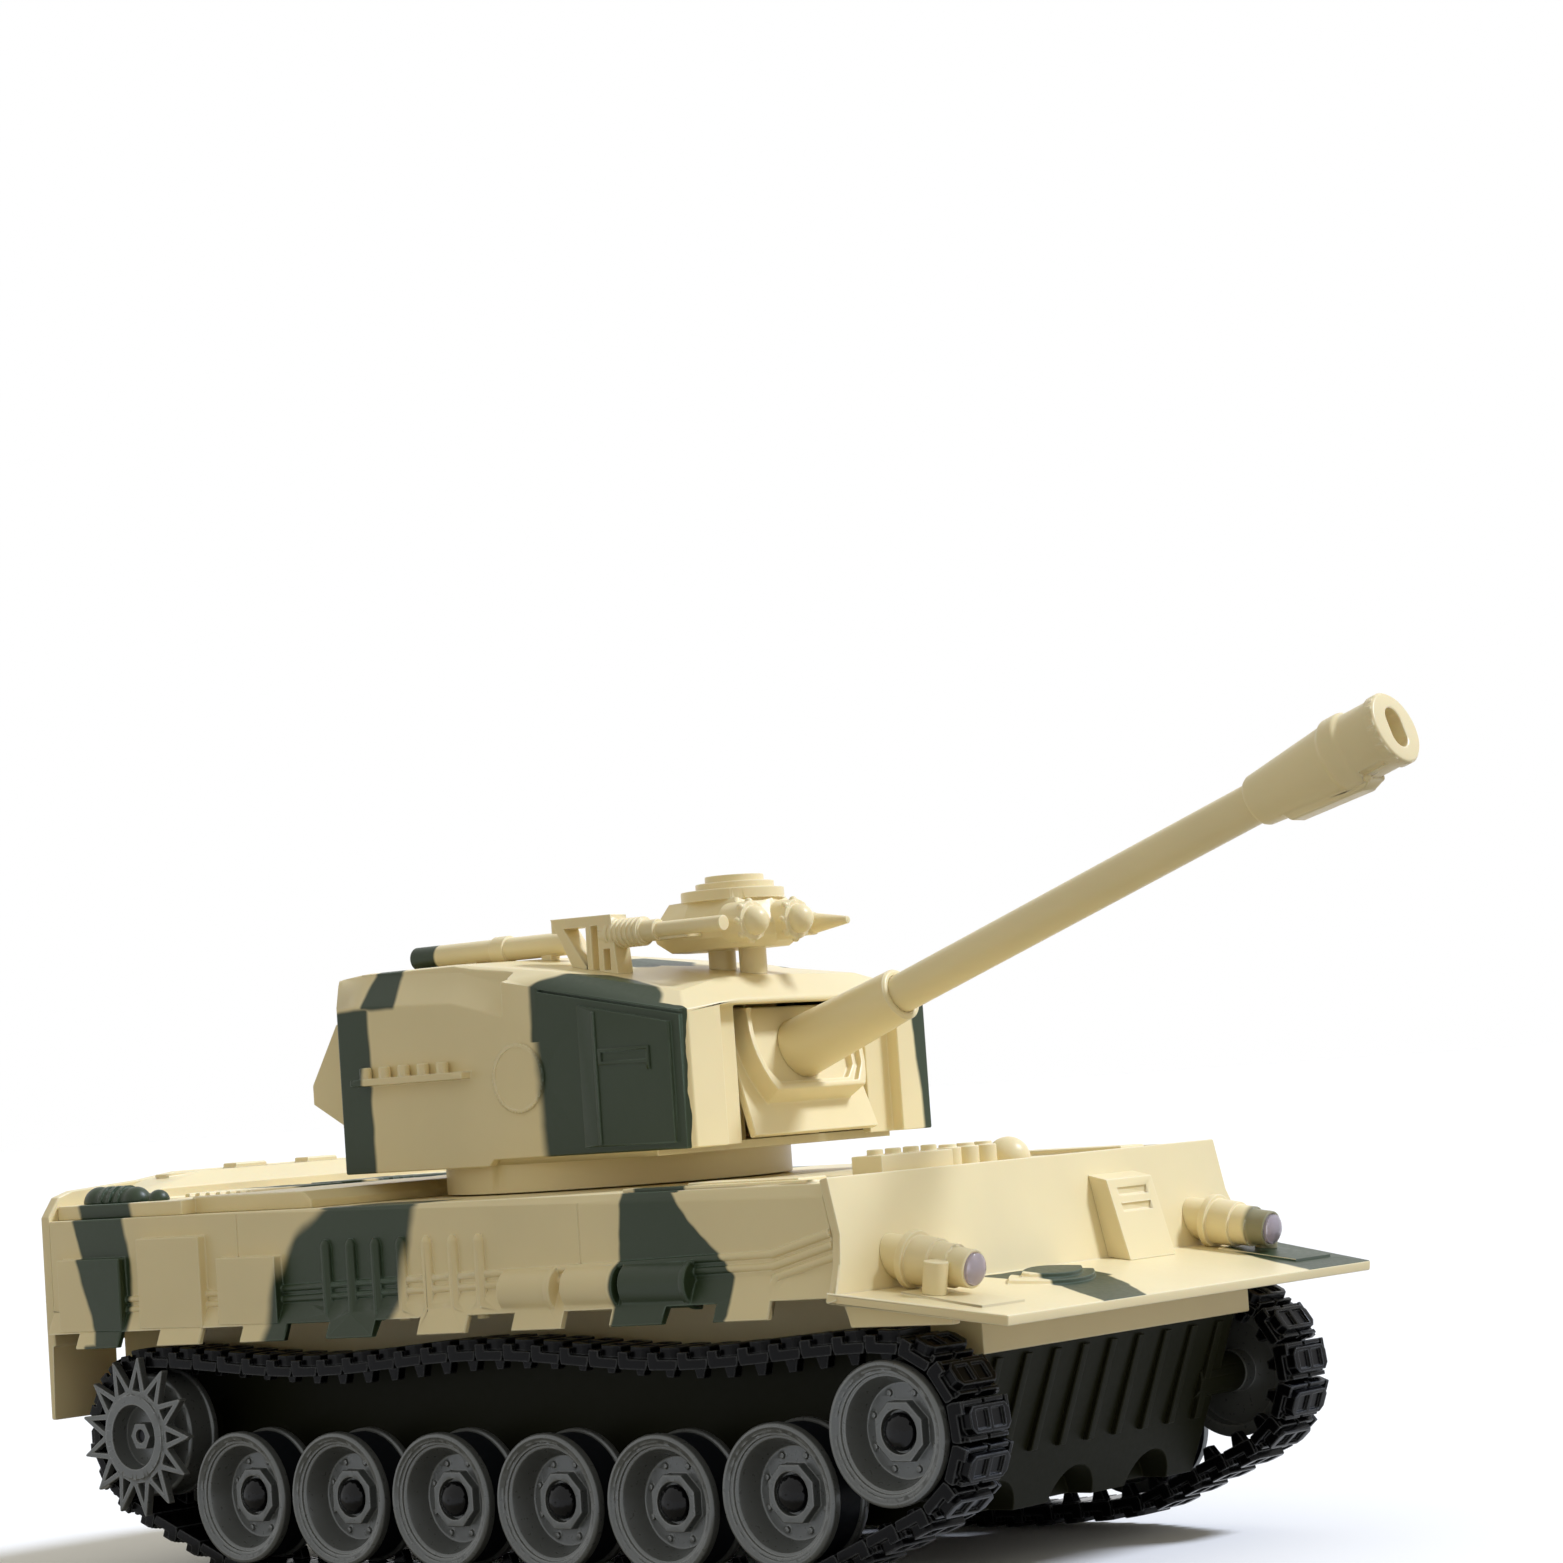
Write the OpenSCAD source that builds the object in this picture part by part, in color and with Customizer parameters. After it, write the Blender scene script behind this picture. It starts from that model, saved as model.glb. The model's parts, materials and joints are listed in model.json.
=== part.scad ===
// Radio-controlled battle tank, a plastic toy of about 1:24 scale.
// X points forward, Y to the tank's left and Z up, and the tracks stand on Z = 0.
// The right-hand pieces are drawn first and the left-hand ones are their mirror images.

/* [Running gear] */
// Distance between neighbouring road wheels
wheel_pitch = 32; // [31:0.5:36]
// Road wheels on each side
wheel_count = 6; // [5:1:7]
// Radius of a road wheel's rim
wheel_r = 14.8; // [13:0.1:15.2]
// Width of a wheel from its inner ring to its outer rim
wheel_w = 11.75; // [10.5:0.25:12]
// How far the front road wheel is lifted off the line of the others
front_wheel_lift = 2.4; // [0:0.2:4]
// Forward distance from the front road wheel to the idler
idler_dx = 28.9; // [26:0.1:34]
// Height of the idler's axle
idler_z = 34.9; // [32:0.1:36]
// Radius of the idler's rim
idler_r = 14.5; // [13:0.1:15]
// Distance from the rear road wheel back to the drive sprocket
sprocket_dx = 33.6; // [31:0.1:38]
// Height of the drive sprocket's shaft
sprocket_z = 33.7; // [31:0.1:35]
// Radius of the tips of the sprocket's star
star_r = 18.4; // [17:0.1:19.2]
// Points of the sprocket's star
star_points = 13; // [9:1:17]
// Thickness of the sprocket's star
star_t = 2; // [1.2:0.1:2.4]
// Radius of the steel axles and drive shafts
axle_r = 1.5; // [1:0.1:2]
// Radial running clearance of a wheel on its axle
running_fit = 0.06; // [0.02:0.01:0.1]

/* [Tracks] */
// Links in each track
link_count = 67; // [60:1:74]
// Width of a track
track_w = 15.4; // [14.5:0.1:16]
// Thickness of a link's plate
belt_t = 2.2; // [1.8:0.1:2.6]
// Height of a link's ground pad
pad_h = 2.4; // [1.5:0.1:3]
// Height of a link's guide horn
horn_h = 2.8; // [1.5:0.1:3.2]
// Depth of the two slack bows in the upper run
track_sag = 2.8; // [0:0.2:4]
// Air between the road wheels and the track's plates
track_gap = 0.6; // [0.5:0.05:1]

/* [Hull] */
// Half width of the lower hull tub
tub_hw = 46; // [44:0.5:48]
// Wall thickness of the hull mouldings
hull_wall = 2; // [1.6:0.1:2.4]
// Height of the tub's floor above the ground
tub_z = 14; // [12:0.5:18]
// Height of the tub's upper rim
tub_top_z = 55; // [54:0.5:56]
// Height of the deck's upper face
deck_z = 84.5; // [82:0.5:88]
// Distance from the rear road wheel back to the skirts' rear ends
hull_rear = 59.3; // [58:0.1:64]
// Distance from the rear road wheel forward to the glacis' upper edge
glacis_x = 180.7; // [178:0.1:184]
// Lean of the glacis, its foot forward
glacis_lean = 12; // [8:0.5:14]
// Thickness of the glacis and the front plate
glacis_t = 2.2; // [1.8:0.1:2.6]
// How far the glacis' feet flare out past the skirts
glacis_flare = 6; // [3:0.5:8]
// Forward reach of the front plate from the glacis' upper edge
plate_reach = 40; // [36:0.5:44]
// Downward slope of the front plate
plate_slope = 8.7; // [6:0.1:10]
// Half width of the front plate's leading edge
plate_tip_hw = 66.5; // [60:0.5:70]
// Height of the nose box's lower edge
nose_z = 48.5; // [47:0.5:50]
// Height of the skirts' lower line at the rear
skirt_z = 57.9; // [57:0.1:60]
// Upward slope of the skirts' lower line towards the front
skirt_slope = 0.96; // [0:0.02:1.2]
// Drop of the tabs below the skirts' lower line
tab_h = 3.6; // [2:0.1:3.8]
// Tabs along each skirt
tab_count = 8; // [6:1:9]
// Lower edge of the rear mudguards
mudguard_z = 37.7; // [36:0.1:44]

/* [Turret] */
// Distance of the turret's pivot ahead of the rear road wheel
turret_x = 62; // [58:0.5:66]
// Radius of the turret's collar
collar_r = 40; // [36:0.5:42]
// Height of the turret's lower edge
turret_z = 91; // [90:0.5:94]
// Height of the turret's side wall at its rear
turret_h = 45; // [42:0.5:48]
// Half width of the turret
turret_hw = 43; // [40:0.5:46]
// Length of the turret ahead of its pivot
turret_front = 60.4; // [58:0.2:64]
// Length of the turret behind its pivot
turret_back = 49; // [46:0.5:52]
// Wall thickness of the turret's shell
turret_wall = 2.4; // [2:0.1:3]
// Reach of the stowage bin behind the turret
bin_reach = 14; // [10:0.5:20]

/* [Gun] */
// Distance of the trunnion ahead of the turret's pivot
trunnion_dx = 45; // [44:0.5:46]
// Height of the trunnion
trunnion_z = 108.5; // [107:0.5:110]
// Raised angle at which the gun rests
gun_rest = 18.8; // [10:0.2:20]
// Length from the trunnion to the muzzle
gun_len = 180; // [150:1:190]
// Radius of the barrel
barrel_r = 4.35; // [3.8:0.05:5]
// Radius of the sleeve at its root
sleeve_r = 6.75; // [6:0.05:7.2]
// Length from the trunnion to the sleeve's front
sleeve_end = 44; // [38:0.5:60]
// Radius of the muzzle brake's body
brake_r = 7.7; // [6.5:0.1:8.5]
// Length of the muzzle brake
brake_len = 35.5; // [30:0.5:42]

/* [Hidden] */
$fn = 64;
// Small overlap that joins the solids of one piece
bite = 0.2;
// Air between mouldings that nest in each other
lap = 0.2;

// Side stack, from the tub's side outwards
inner_wall_y = tub_hw + lap;
inner_wall_out = inner_wall_y + hull_wall;
track_in_y = inner_wall_out + 2.4;
track_out_y = track_in_y + track_w;
track_mid_y = track_in_y + track_w / 2;
wheel_face_y = track_out_y + 1.25;
wheel_in_y = wheel_face_y - wheel_w;
star_in_y = track_out_y + 0.35;
star_out_y = star_in_y + star_t;
skirt_y = star_out_y + 0.9;
skirt_in_y = skirt_y - 1.8;
glacis_foot_hw = skirt_y + glacis_flare;

// Places along the hull
wheel_z = wheel_r + track_gap + belt_t + pad_h;
front_wheel_x = (wheel_count - 1) * wheel_pitch;
idler_x = front_wheel_x + idler_dx;
sprocket_x = -sprocket_dx;
skirt_front_x = glacis_x + 6;
rear_plate_t = 2.9;
rear_x = -hull_rear - rear_plate_t;
lug_t = 1.5;
nose_x = glacis_x + plate_reach - 20.3;

// The gun's muzzle sets the front of the part, and the part is centred on its own length
muzzle_x = turret_x + trunnion_dx + gun_len * cos(gun_rest) + (brake_r - 0.6) * sin(gun_rest);
x_ref = -(muzzle_x + rear_x - lug_t) / 2;

function unit(v) = v / norm(v);
function wheel_x(i) = i * wheel_pitch;
function axle_z(i) = wheel_z + (i == wheel_count - 1 ? front_wheel_lift : 0);
function glacis_front(z) = glacis_x + (deck_z - z) * tan(glacis_lean);
function glacis_back(z) = glacis_front(z) - glacis_t / cos(glacis_lean);
plate_top_z = 63.7 + deck_z - 84.5;
function plate_top(x) = plate_top_z - (x - glacis_x) * tan(plate_slope);
function skirt_line(x) = skirt_z + (x + hull_rear) * tan(skirt_slope);

// Shapes that repeat

// Moves a piece from the rear road wheel's frame to the part's own frame
module chassis() translate([x_ref, 0, 0]) children();

module left_hand() mirror([0, 1, 0]) children();

// All the space ahead of the glacis' front face, or of a plane that lies deeper by the given depth
module ahead_of_glacis(depth)
    translate([glacis_x, 0, deck_z]) rotate([0, -glacis_lean, 0])
        translate([-depth, -100, -60]) cube([80, 200, 80]);

module both_sides() {
    children();
    mirror([0, 1, 0]) children();
}

// Extrudes a side view, given as X and Z, across the hull from y0 to y1
module side_view(points, y0, y1)
    translate([0, y1, 0]) rotate([90, 0, 0]) linear_extrude(y1 - y0) polygon(points);

// A solid through rings of equally many points, closed with a fan at both ends
module loft(rings, crown = undef) {
    n = len(rings[0]);
    last = len(rings) - 1;
    middle = function(ring) [for (k = [0:2]) [for (p = ring) p[k]] * [for (p = ring) 1] / n];
    points = concat([for (ring = rings) each ring],
        [middle(rings[0]), is_undef(crown) ? middle(rings[last]) : crown]);
    walls = [for (r = [0:last - 1], i = [0:n - 1])
        let (j = (i + 1) % n)
        each [[r * n + i, r * n + j, (r + 1) * n + j],
            [r * n + i, (r + 1) * n + j, (r + 1) * n + i]]];
    foot = [for (i = [0:n - 1]) [(i + 1) % n, i, n * (last + 1)]];
    cap = [for (i = [0:n - 1]) [last * n + i, last * n + (i + 1) % n, n * (last + 1) + 1]];
    faces = concat(walls, foot, cap);
    // Rings may run either way round: the faces are turned so that they look outwards
    turn = [for (f = faces) points[f[0]] * cross(points[f[1]], points[f[2]])] * [for (f = faces) 1];
    polyhedron(points, turn > 0 ? [for (f = faces) [f[2], f[1], f[0]]] : faces);
}

// A cylinder lying along X from x0 to x1
module rod_x(x0, x1, r, r1 = undef)
    translate([x0, 0, 0]) rotate([0, 90, 0]) cylinder(h = x1 - x0, r1 = r, r2 = is_undef(r1) ? r : r1);

// A shaft lying along Y, from y0 inboard out to y1 on the right-hand side
module shaft_y(x, z, y0, y1, r)
    translate([x, -y0, z]) rotate([90, 0, 0]) cylinder(h = y1 - y0, r = r);

// Track: the loop runs round the road wheels, the idler and the sprocket, rear to front below
road_path_r = wheel_r + track_gap + belt_t / 2;
end_path_r = road_path_r + 0.4;
loop_centres = [[0, wheel_z], [wheel_x(wheel_count - 2), wheel_z], [front_wheel_x,
    axle_z(wheel_count - 1)],
    [idler_x, idler_z], [sprocket_x, sprocket_z]];
loop_radii = [road_path_r, road_path_r, road_path_r, end_path_r, end_path_r];
loop_n = len(loop_centres);
upper_run = loop_n - 2;

// Outward normal of the straight run that leaves roller i
function run_normal(i) =
    let (j = (i + 1) % loop_n, d = loop_centres[j] - loop_centres[i], u = unit(d),
        lead = asin((loop_radii[i] - loop_radii[j]) / norm(d)))
    cos(lead) * [u[1], -u[0]] + sin(lead) * u;
run_normals = [for (i = [0:loop_n - 1]) run_normal(i)];
run_starts = [for (i = [0:loop_n - 1]) loop_centres[i] + loop_radii[i] * run_normals[i]];
run_ends = [for (i = [0:loop_n - 1]) let (j = (i + 1) % loop_n)
    loop_centres[j] + loop_radii[j] * run_normals[i]];
run_lengths = [for (i = [0:loop_n - 1]) norm(run_ends[i] - run_starts[i])];
function heading(v) = atan2(v[1], v[0]);
wrap_angles = [for (i = [0:loop_n - 1])
    (heading(run_normals[(i + 1) % loop_n]) - heading(run_normals[i]) + 720) % 360];
wrap_lengths = [for (i = [0:loop_n - 1]) wrap_angles[i] * PI / 180 * loop_radii[(i + 1) % loop_n]];
loop_length = [for (i = [0:loop_n - 1]) run_lengths[i] + wrap_lengths[i]] * [for (i = [0:loop_n - 1]) 1];
link_pitch = loop_length / link_count;

// Point of the loop at the length s from the foot of the rear road wheel
function loop_point(s, i = 0) =
    s <= run_lengths[i] || i == loop_n - 1 && s <= run_lengths[i] + 1e-6
        ? let (t = s / run_lengths[i])
          run_starts[i] + t * (run_ends[i] - run_starts[i])
          - (i == upper_run ? [0, track_sag * pow(sin(360 * t), 2)] : [0, 0])
    : s <= run_lengths[i] + wrap_lengths[i]
        ? let (j = (i + 1) % loop_n,
               a = heading(run_normals[i]) + (s - run_lengths[i]) / loop_radii[j] * 180 / PI)
          loop_centres[j] + loop_radii[j] * [cos(a), sin(a)]
    : loop_point(s - run_lengths[i] - wrap_lengths[i], (i + 1) % loop_n);

// One link: the pad is on its -Z side and the guide horn on its +Z side, at the hull's side
pad_len = 5.5;
pad_hw = track_w / 2 - 1.3;
pin_block_w = 1;
hinge_gap = 0.12;
module track_link(pitch) {
    half = pitch / 2 - hinge_gap;
    plate_t = belt_t / 2;
    pad_corner = 1.3;
    side_view([[-half, 0], [-half, -plate_t], [half, -plate_t], [half, 0],
        [half - 0.4, plate_t], [0.4 - half, plate_t]], -track_w / 2, track_w / 2);
    translate([0, 0, -plate_t - pad_h])
        difference() {
            linear_extrude(pad_h + bite)
                polygon([[pad_len / 2, pad_hw - pad_corner], [pad_len / 2, pad_corner - pad_hw],
                    [pad_len / 2 - pad_corner, -pad_hw], [pad_corner - pad_len / 2, -pad_hw],
                    [-pad_len / 2, pad_corner - pad_hw], [-pad_len / 2, pad_hw - pad_corner],
                    [pad_corner - pad_len / 2, pad_hw], [pad_len / 2 - pad_corner, pad_hw]]);
            for (y = [-1, 1]) translate([-pad_len / 2 + 0.9, y * (pad_hw - 1.3) / 2 - (pad_hw - 2.5) / 2,
                -bite])
                cube([pad_len - 1.8, pad_hw - 2.5, bite + 0.7]);
        }
    for (y = [-1, 1], end = [-1, 1])
        translate([end > 0 ? pad_len / 2 + 0.25 : -half, y > 0 ? 0.5 : -pad_hw, -plate_t - pad_h / 2])
            cube([half - pad_len / 2 - 0.25, pad_hw - 0.5, pad_h / 2 + bite]);
    for (y = [-track_w / 2, track_w / 2 - pin_block_w])
        translate([pad_len / 4, y, -plate_t - pad_h * 0.6]) cube([half - pad_len / 4, pin_block_w,
            pad_h * 0.6 + bite]);
    side_view([[-1.9, plate_t - bite], [1.9, plate_t - bite], [0.9, plate_t + horn_h], [-0.9,
        plate_t + horn_h]],
        track_w / 2 - 3.7, track_w / 2 - 1.3);
}

module track()
    for (k = [0:link_count - 1])
        let (a = loop_point(k * link_pitch), b = loop_point((k + 1) * link_pitch - 1e-6), mid = (a + b)
            / 2)
        translate([mid[0], -track_mid_y, mid[1]]) rotate([0, -heading(b - a), 0]) track_link(norm(b - a));

module track_right() color([0.07, 0.07, 0.07]) chassis() track();
module track_left() color([0.07, 0.07, 0.07]) chassis() left_hand() track();

// Wheels: +Z of the local shape points away from the hull
dish_h = wheel_w - 6.65;
dish_r = 9.6;
hub_r = 4.6;
collar_top = dish_h + 2.2;
head_seat = dish_h + 0.6;
head_r = 3.8;
bolt_ring_r = 8.1;
wheel_bolts = 8;

module dished_wheel(rim) {
    bore = axle_r + running_fit;
    difference() {
        union() {
            rotate_extrude() polygon([[bore, 0], [hub_r, 0], [hub_r, dish_h - 1.6], [rim - 2.6,
                dish_h - 1.6],
                [rim - 2.6, 0], [rim - 0.3, 0], [rim, 0.3], [rim, 1.6], [rim - 0.7, 2], [rim - 0.7,
                    wheel_w - 2.7],
                [rim, wheel_w - 2.3], [rim, wheel_w - 0.5], [rim - 0.5, wheel_w], [rim - 1.1, wheel_w],
                [rim - 1.1, wheel_w - 0.4], [rim - 1.9, wheel_w - 0.4], [rim - 1.9, wheel_w - 0.9],
                [rim - 2.6, wheel_w - 0.9], [rim - 2.6, wheel_w - 1.5], [rim - 3.3, wheel_w - 1.5],
                [dish_r, dish_h], [bore, dish_h]]);
            rotate([0, 0, 22.5]) translate([0, 0, dish_h - bite]) cylinder(h = 2.2 + bite, r = 6.4,
                $fn = 8);
            for (k = [0:wheel_bolts - 1]) rotate([0, 0, (k + 0.5) * 360 / wheel_bolts])
                translate([bolt_ring_r, 0, dish_h - bite]) cylinder(h = 0.7 + bite, r = 0.65);
        }
        translate([0, 0, head_seat]) cylinder(h = wheel_w, r = head_r + 0.6);
        translate([0, 0, -1]) cylinder(h = wheel_w, r = bore);
    }
}

module wheel_at(x, z, rim) translate([x, -wheel_in_y, z]) rotate([90, 0, 0]) dished_wheel(rim);

module road_wheel_right(i) color([0.42, 0.43, 0.43]) chassis() wheel_at(wheel_x(i), axle_z(i), wheel_r);
module road_wheel_left(i) color([0.42, 0.43, 0.43]) chassis() left_hand() wheel_at(wheel_x(i), axle_z(i),
    wheel_r);
module idler_right() color([0.42, 0.43, 0.43]) chassis() wheel_at(idler_x, idler_z, idler_r);
module idler_left() color([0.42, 0.43, 0.43]) chassis() left_hand() wheel_at(idler_x, idler_z, idler_r);

// Drive sprocket: a drum under the track and an open star outside it
drum_r = wheel_r - 0.6;
star_h = star_in_y - wheel_in_y;
star_ring_r = 9.8;
star_cup_r = 7.4;
star_valley_r = 11.3;
star_tip_w = 0.5;
cup_floor = star_h - 2;
module sprocket() {
    step = 360 / star_points;
    difference() {
        union() {
            rotate_extrude() polygon([[axle_r, 0], [wheel_r - 0.3, 0], [wheel_r, 0.3], [wheel_r, 1.5],
                [drum_r, 1.8], [drum_r, star_h - 3.2], [drum_r - 0.6, star_h - 2.6], [star_ring_r - 0.6,
                    star_h - 2.6],
                [star_ring_r - 0.6, star_h + 0.3], [axle_r, star_h + 0.3]]);
            translate([0, 0, star_h]) linear_extrude(star_t)
                polygon([for (k = [0:star_points - 1]) each [
                    [star_r * cos(k * step) + star_tip_w / 2 * sin(k * step),
                        star_r * sin(k * step) - star_tip_w / 2 * cos(k * step)],
                    [star_r * cos(k * step) - star_tip_w / 2 * sin(k * step),
                        star_r * sin(k * step) + star_tip_w / 2 * cos(k * step)],
                    star_valley_r * [cos((k + 0.5) * step), sin((k + 0.5) * step)]]]);
            translate([0, 0, star_h]) cylinder(h = star_t + 0.5, r = star_ring_r);
        }
        for (k = [0:star_points - 1]) rotate([0, 0, k * step]) translate([0, 0, star_h - 0.3])
            linear_extrude(star_t + 1) polygon([[star_ring_r + 0.9, -1.35], [star_r - 3, 0],
                [star_ring_r + 0.9, 1.35]]);
        translate([0, 0, cup_floor]) cylinder(h = star_h, r = star_cup_r);
        translate([0, 0, -1]) cylinder(h = star_h + star_t, r = axle_r + 0.02);
    }
    difference() {
        translate([0, 0, cup_floor - bite]) cylinder(h = 2.4 + bite, r = 3.4, $fn = 6);
        translate([0, 0, -1]) cylinder(h = star_h + star_t, r = axle_r + 0.02);
    }
}

module sprocket_right() color([0.42, 0.43, 0.43]) chassis()
    translate([sprocket_x, -wheel_in_y, sprocket_z]) rotate([90, 0, 0]) sprocket();
module sprocket_left() color([0.42, 0.43, 0.43]) chassis() left_hand()
    translate([sprocket_x, -wheel_in_y, sprocket_z]) rotate([90, 0, 0]) sprocket();

// Steel shaft from the gearbox out to the sprocket's nut
gearbox_out_y = tub_hw - hull_wall - 1;
gearbox_in_y = 12;
module drive_shaft() shaft_y(sprocket_x, sprocket_z, gearbox_in_y + 4, wheel_in_y + cup_floor + 1.6,
    axle_r);
module drive_shaft_right() color([0.7, 0.7, 0.72]) chassis() drive_shaft();
module drive_shaft_left() color([0.7, 0.7, 0.72]) chassis() left_hand() drive_shaft();

// Fixed axle pins: a steel pin pressed in the tub, with a black domed head that keeps the wheel on
boss_out_y = wheel_in_y - 0.3;
pin_in_y = tub_hw - hull_wall;
module axle_pin(x, z) {
    head_y = wheel_in_y + head_seat + 0.3;
    shaft_y(x, z, pin_in_y, head_y + 0.5, axle_r);
    translate([x, -head_y, z]) rotate([90, 0, 0]) rotate_extrude()
        polygon(concat([[0, 0], [head_r, 0], [head_r, 0.9]],
            [for (a = [15:15:90]) [head_r * cos(a), 0.9 + 2 * sin(a)]]));
}
module axle_pins() {
    for (i = [0:wheel_count - 1]) axle_pin(wheel_x(i), axle_z(i));
    axle_pin(idler_x, idler_z);
}
module axle_pins_right() color([0.05, 0.05, 0.06]) chassis() axle_pins();
module axle_pins_left() color([0.05, 0.05, 0.06]) chassis() left_hand() axle_pins();

// Lower hull tub: an open tray with axle bosses, a ribbed sloping front and arched bow
tub_front_foot = nose_x - 17;
tub_front_top = nose_x - hull_wall - 0.6;
tub_rear_x = -hull_rear + lap;
boss_r = 4.5;
rib_count = 9;
arch_y = [-28, 0, 28];
arch_r = 8;
arch_x = tub_front_foot - 6;
door_x = [38, 102];
door_hw = 24;
switch_x = 130;
switch_y = 30;
switch_slot = [9, 4.4];
switch_travel = 4;
screw_places = [for (p = [[2, 14], [112, 38], [170, 36]], s = [-1, 1]) [p[0], s * p[1]]];
screw_head_r = 2.8;
screw_r = 1.2;
screw_post_r = 4.2;
screw_seat_z = tub_z + 4;
tub_floor = tub_z + hull_wall;
board_z = 38;
board_x = [112, 168];
board_hw = 30;

tub_outline = [[tub_rear_x + 8, tub_z], [tub_front_foot, tub_z], [tub_front_top, nose_z - 0.4],
    [tub_front_top, tub_top_z], [tub_rear_x, tub_top_z], [tub_rear_x, tub_z + 22]];
tub_hollow = [[tub_rear_x + 8 + hull_wall, tub_floor], [tub_front_foot - hull_wall, tub_floor],
    [tub_front_top - hull_wall, nose_z - 0.4], [tub_front_top - hull_wall, tub_top_z + 1],
    [tub_rear_x + hull_wall, tub_top_z + 1], [tub_rear_x + hull_wall, tub_z + 22]];

// Ribs along the sloping bow, between its foot and the nose box
module bow_ribs() {
    rise = nose_z - 0.4 - tub_z;
    run = tub_front_top - tub_front_foot;
    spread = 2 * (tub_hw - 6) / (rib_count - 1);
    for (i = [0:rib_count - 1]) translate([0, -tub_hw + 6 + i * spread, 0])
        side_view([[tub_front_foot + 0.36 * run, tub_z + 0.36 * rise], [tub_front_top - 0.3,
            nose_z - 1.2],
            [tub_front_top + 0.5, nose_z - 1.4], [tub_front_foot + 0.4 * run + 0.9,
                tub_z + 0.36 * rise]], -1.1, 1.1);
}

module hull_tub() color([0.13, 0.13, 0.08]) chassis() {
    difference() {
        union() {
            side_view(tub_outline, -tub_hw, tub_hw);
            both_sides() {
                for (i = [0:wheel_count - 1]) shaft_y(wheel_x(i), axle_z(i), pin_in_y, boss_out_y,
                    boss_r);
                shaft_y(idler_x, idler_z, tub_hw - 8, boss_out_y, boss_r);
                shaft_y(sprocket_x, sprocket_z, pin_in_y, boss_out_y, boss_r + 1);
            }
            bow_ribs();
        }
        difference() {
            side_view(tub_hollow, -tub_hw + hull_wall, tub_hw - hull_wall);
            both_sides() shaft_y(idler_x, idler_z, tub_hw - 8, tub_hw, boss_r);
            for (y = arch_y) translate([arch_x - hull_wall, y, tub_z - 1]) rod_x(0, 40,
                arch_r + hull_wall);
            for (p = screw_places) translate([p[0], p[1], tub_z]) cylinder(h = 14, r = screw_post_r);
            for (x = [board_x[0] + 4, board_x[1] - 4], y = [-1, 1])
                translate([x, y * (board_hw - 4), tub_z]) cylinder(h = board_z - tub_z, r = 2.2);
        }
        both_sides() {
            for (i = [0:wheel_count - 1]) shaft_y(wheel_x(i), axle_z(i), pin_in_y - 1, boss_out_y + 1,
                axle_r + 0.01);
            shaft_y(idler_x, idler_z, pin_in_y, boss_out_y + 1, axle_r + 0.01);
            shaft_y(sprocket_x, sprocket_z, pin_in_y - 1, boss_out_y + 1, axle_r + running_fit);
        }
        for (y = arch_y) translate([arch_x, y, tub_z - 1]) rod_x(0, 30, arch_r);
        translate([door_x[0], -door_hw, tub_z - 1]) cube([door_x[1] - door_x[0], 2 * door_hw,
            hull_wall + 2]);
        translate([switch_x, switch_y - switch_slot[1] / 2, tub_z - 1])
            cube([switch_slot[0], switch_slot[1], hull_wall + 2]);
        for (p = screw_places) translate([p[0], p[1], tub_z - 1]) {
            cylinder(h = 5, r = screw_head_r + 0.4);
            cylinder(h = 13, r = screw_r + 0.01);
        }
    }
}

// Screws that close the tub from below
module hull_screws() color([0.55, 0.55, 0.57]) chassis()
    for (p = screw_places) translate([p[0], p[1], screw_seat_z]) difference() {
        union() {
            translate([0, 0, -2.4]) cylinder(h = 2.4, r = screw_head_r);
            translate([0, 0, -1]) cylinder(h = 8, r = screw_r);
        }
        for (a = [0, 90]) translate([0, 0, -2.4]) rotate([0, 0, a]) cube([3.4, 0.7, 1.8], center = true);
    }

// Battery bay: a flush door with a finger notch, and the pack that stands on it
module battery_door() color([0.13, 0.13, 0.08]) chassis() difference() {
    union() {
        translate([door_x[0] + lap, -door_hw + lap, tub_z])
            cube([door_x[1] - door_x[0] - 2 * lap, 2 * (door_hw - lap), hull_wall]);
        for (y = [-1, 1]) translate([door_x[0] + 6, y * 19.5 - 0.75, tub_z]) cube([52, 1.5,
            hull_wall + 4]);
    }
    translate([door_x[1] - 6, 0, tub_z - 2.2]) sphere(r = 4);
}
module battery_pack() color([0.12, 0.16, 0.35]) chassis() {
    for (y = [-1, 0, 1] * 1.02) translate([0, y * 2 * 6.1, tub_floor + 6.15])
        rod_x(door_x[0] + 7, door_x[0] + 57, 6.05);
}

// Receiver board on its four posts, with a shielded radio module and driver chips
module control_board() color([0.1, 0.35, 0.18]) chassis() {
    translate([board_x[0], -board_hw, board_z]) cube([board_x[1] - board_x[0], 2 * board_hw, 1.6]);
    translate([board_x[0] + 6, -board_hw + 5, board_z + 1.6 - bite]) cube([16, 12, 2.4 + bite]);
    for (y = [2, 16]) translate([board_x[0] + 28, y, board_z + 1.6 - bite]) cube([8, 6, 1.6 + bite]);
    translate([board_x[1] - 8, -12, board_z + 1.6 - bite]) cube([6, 24, 6 + bite]);
}

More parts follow.
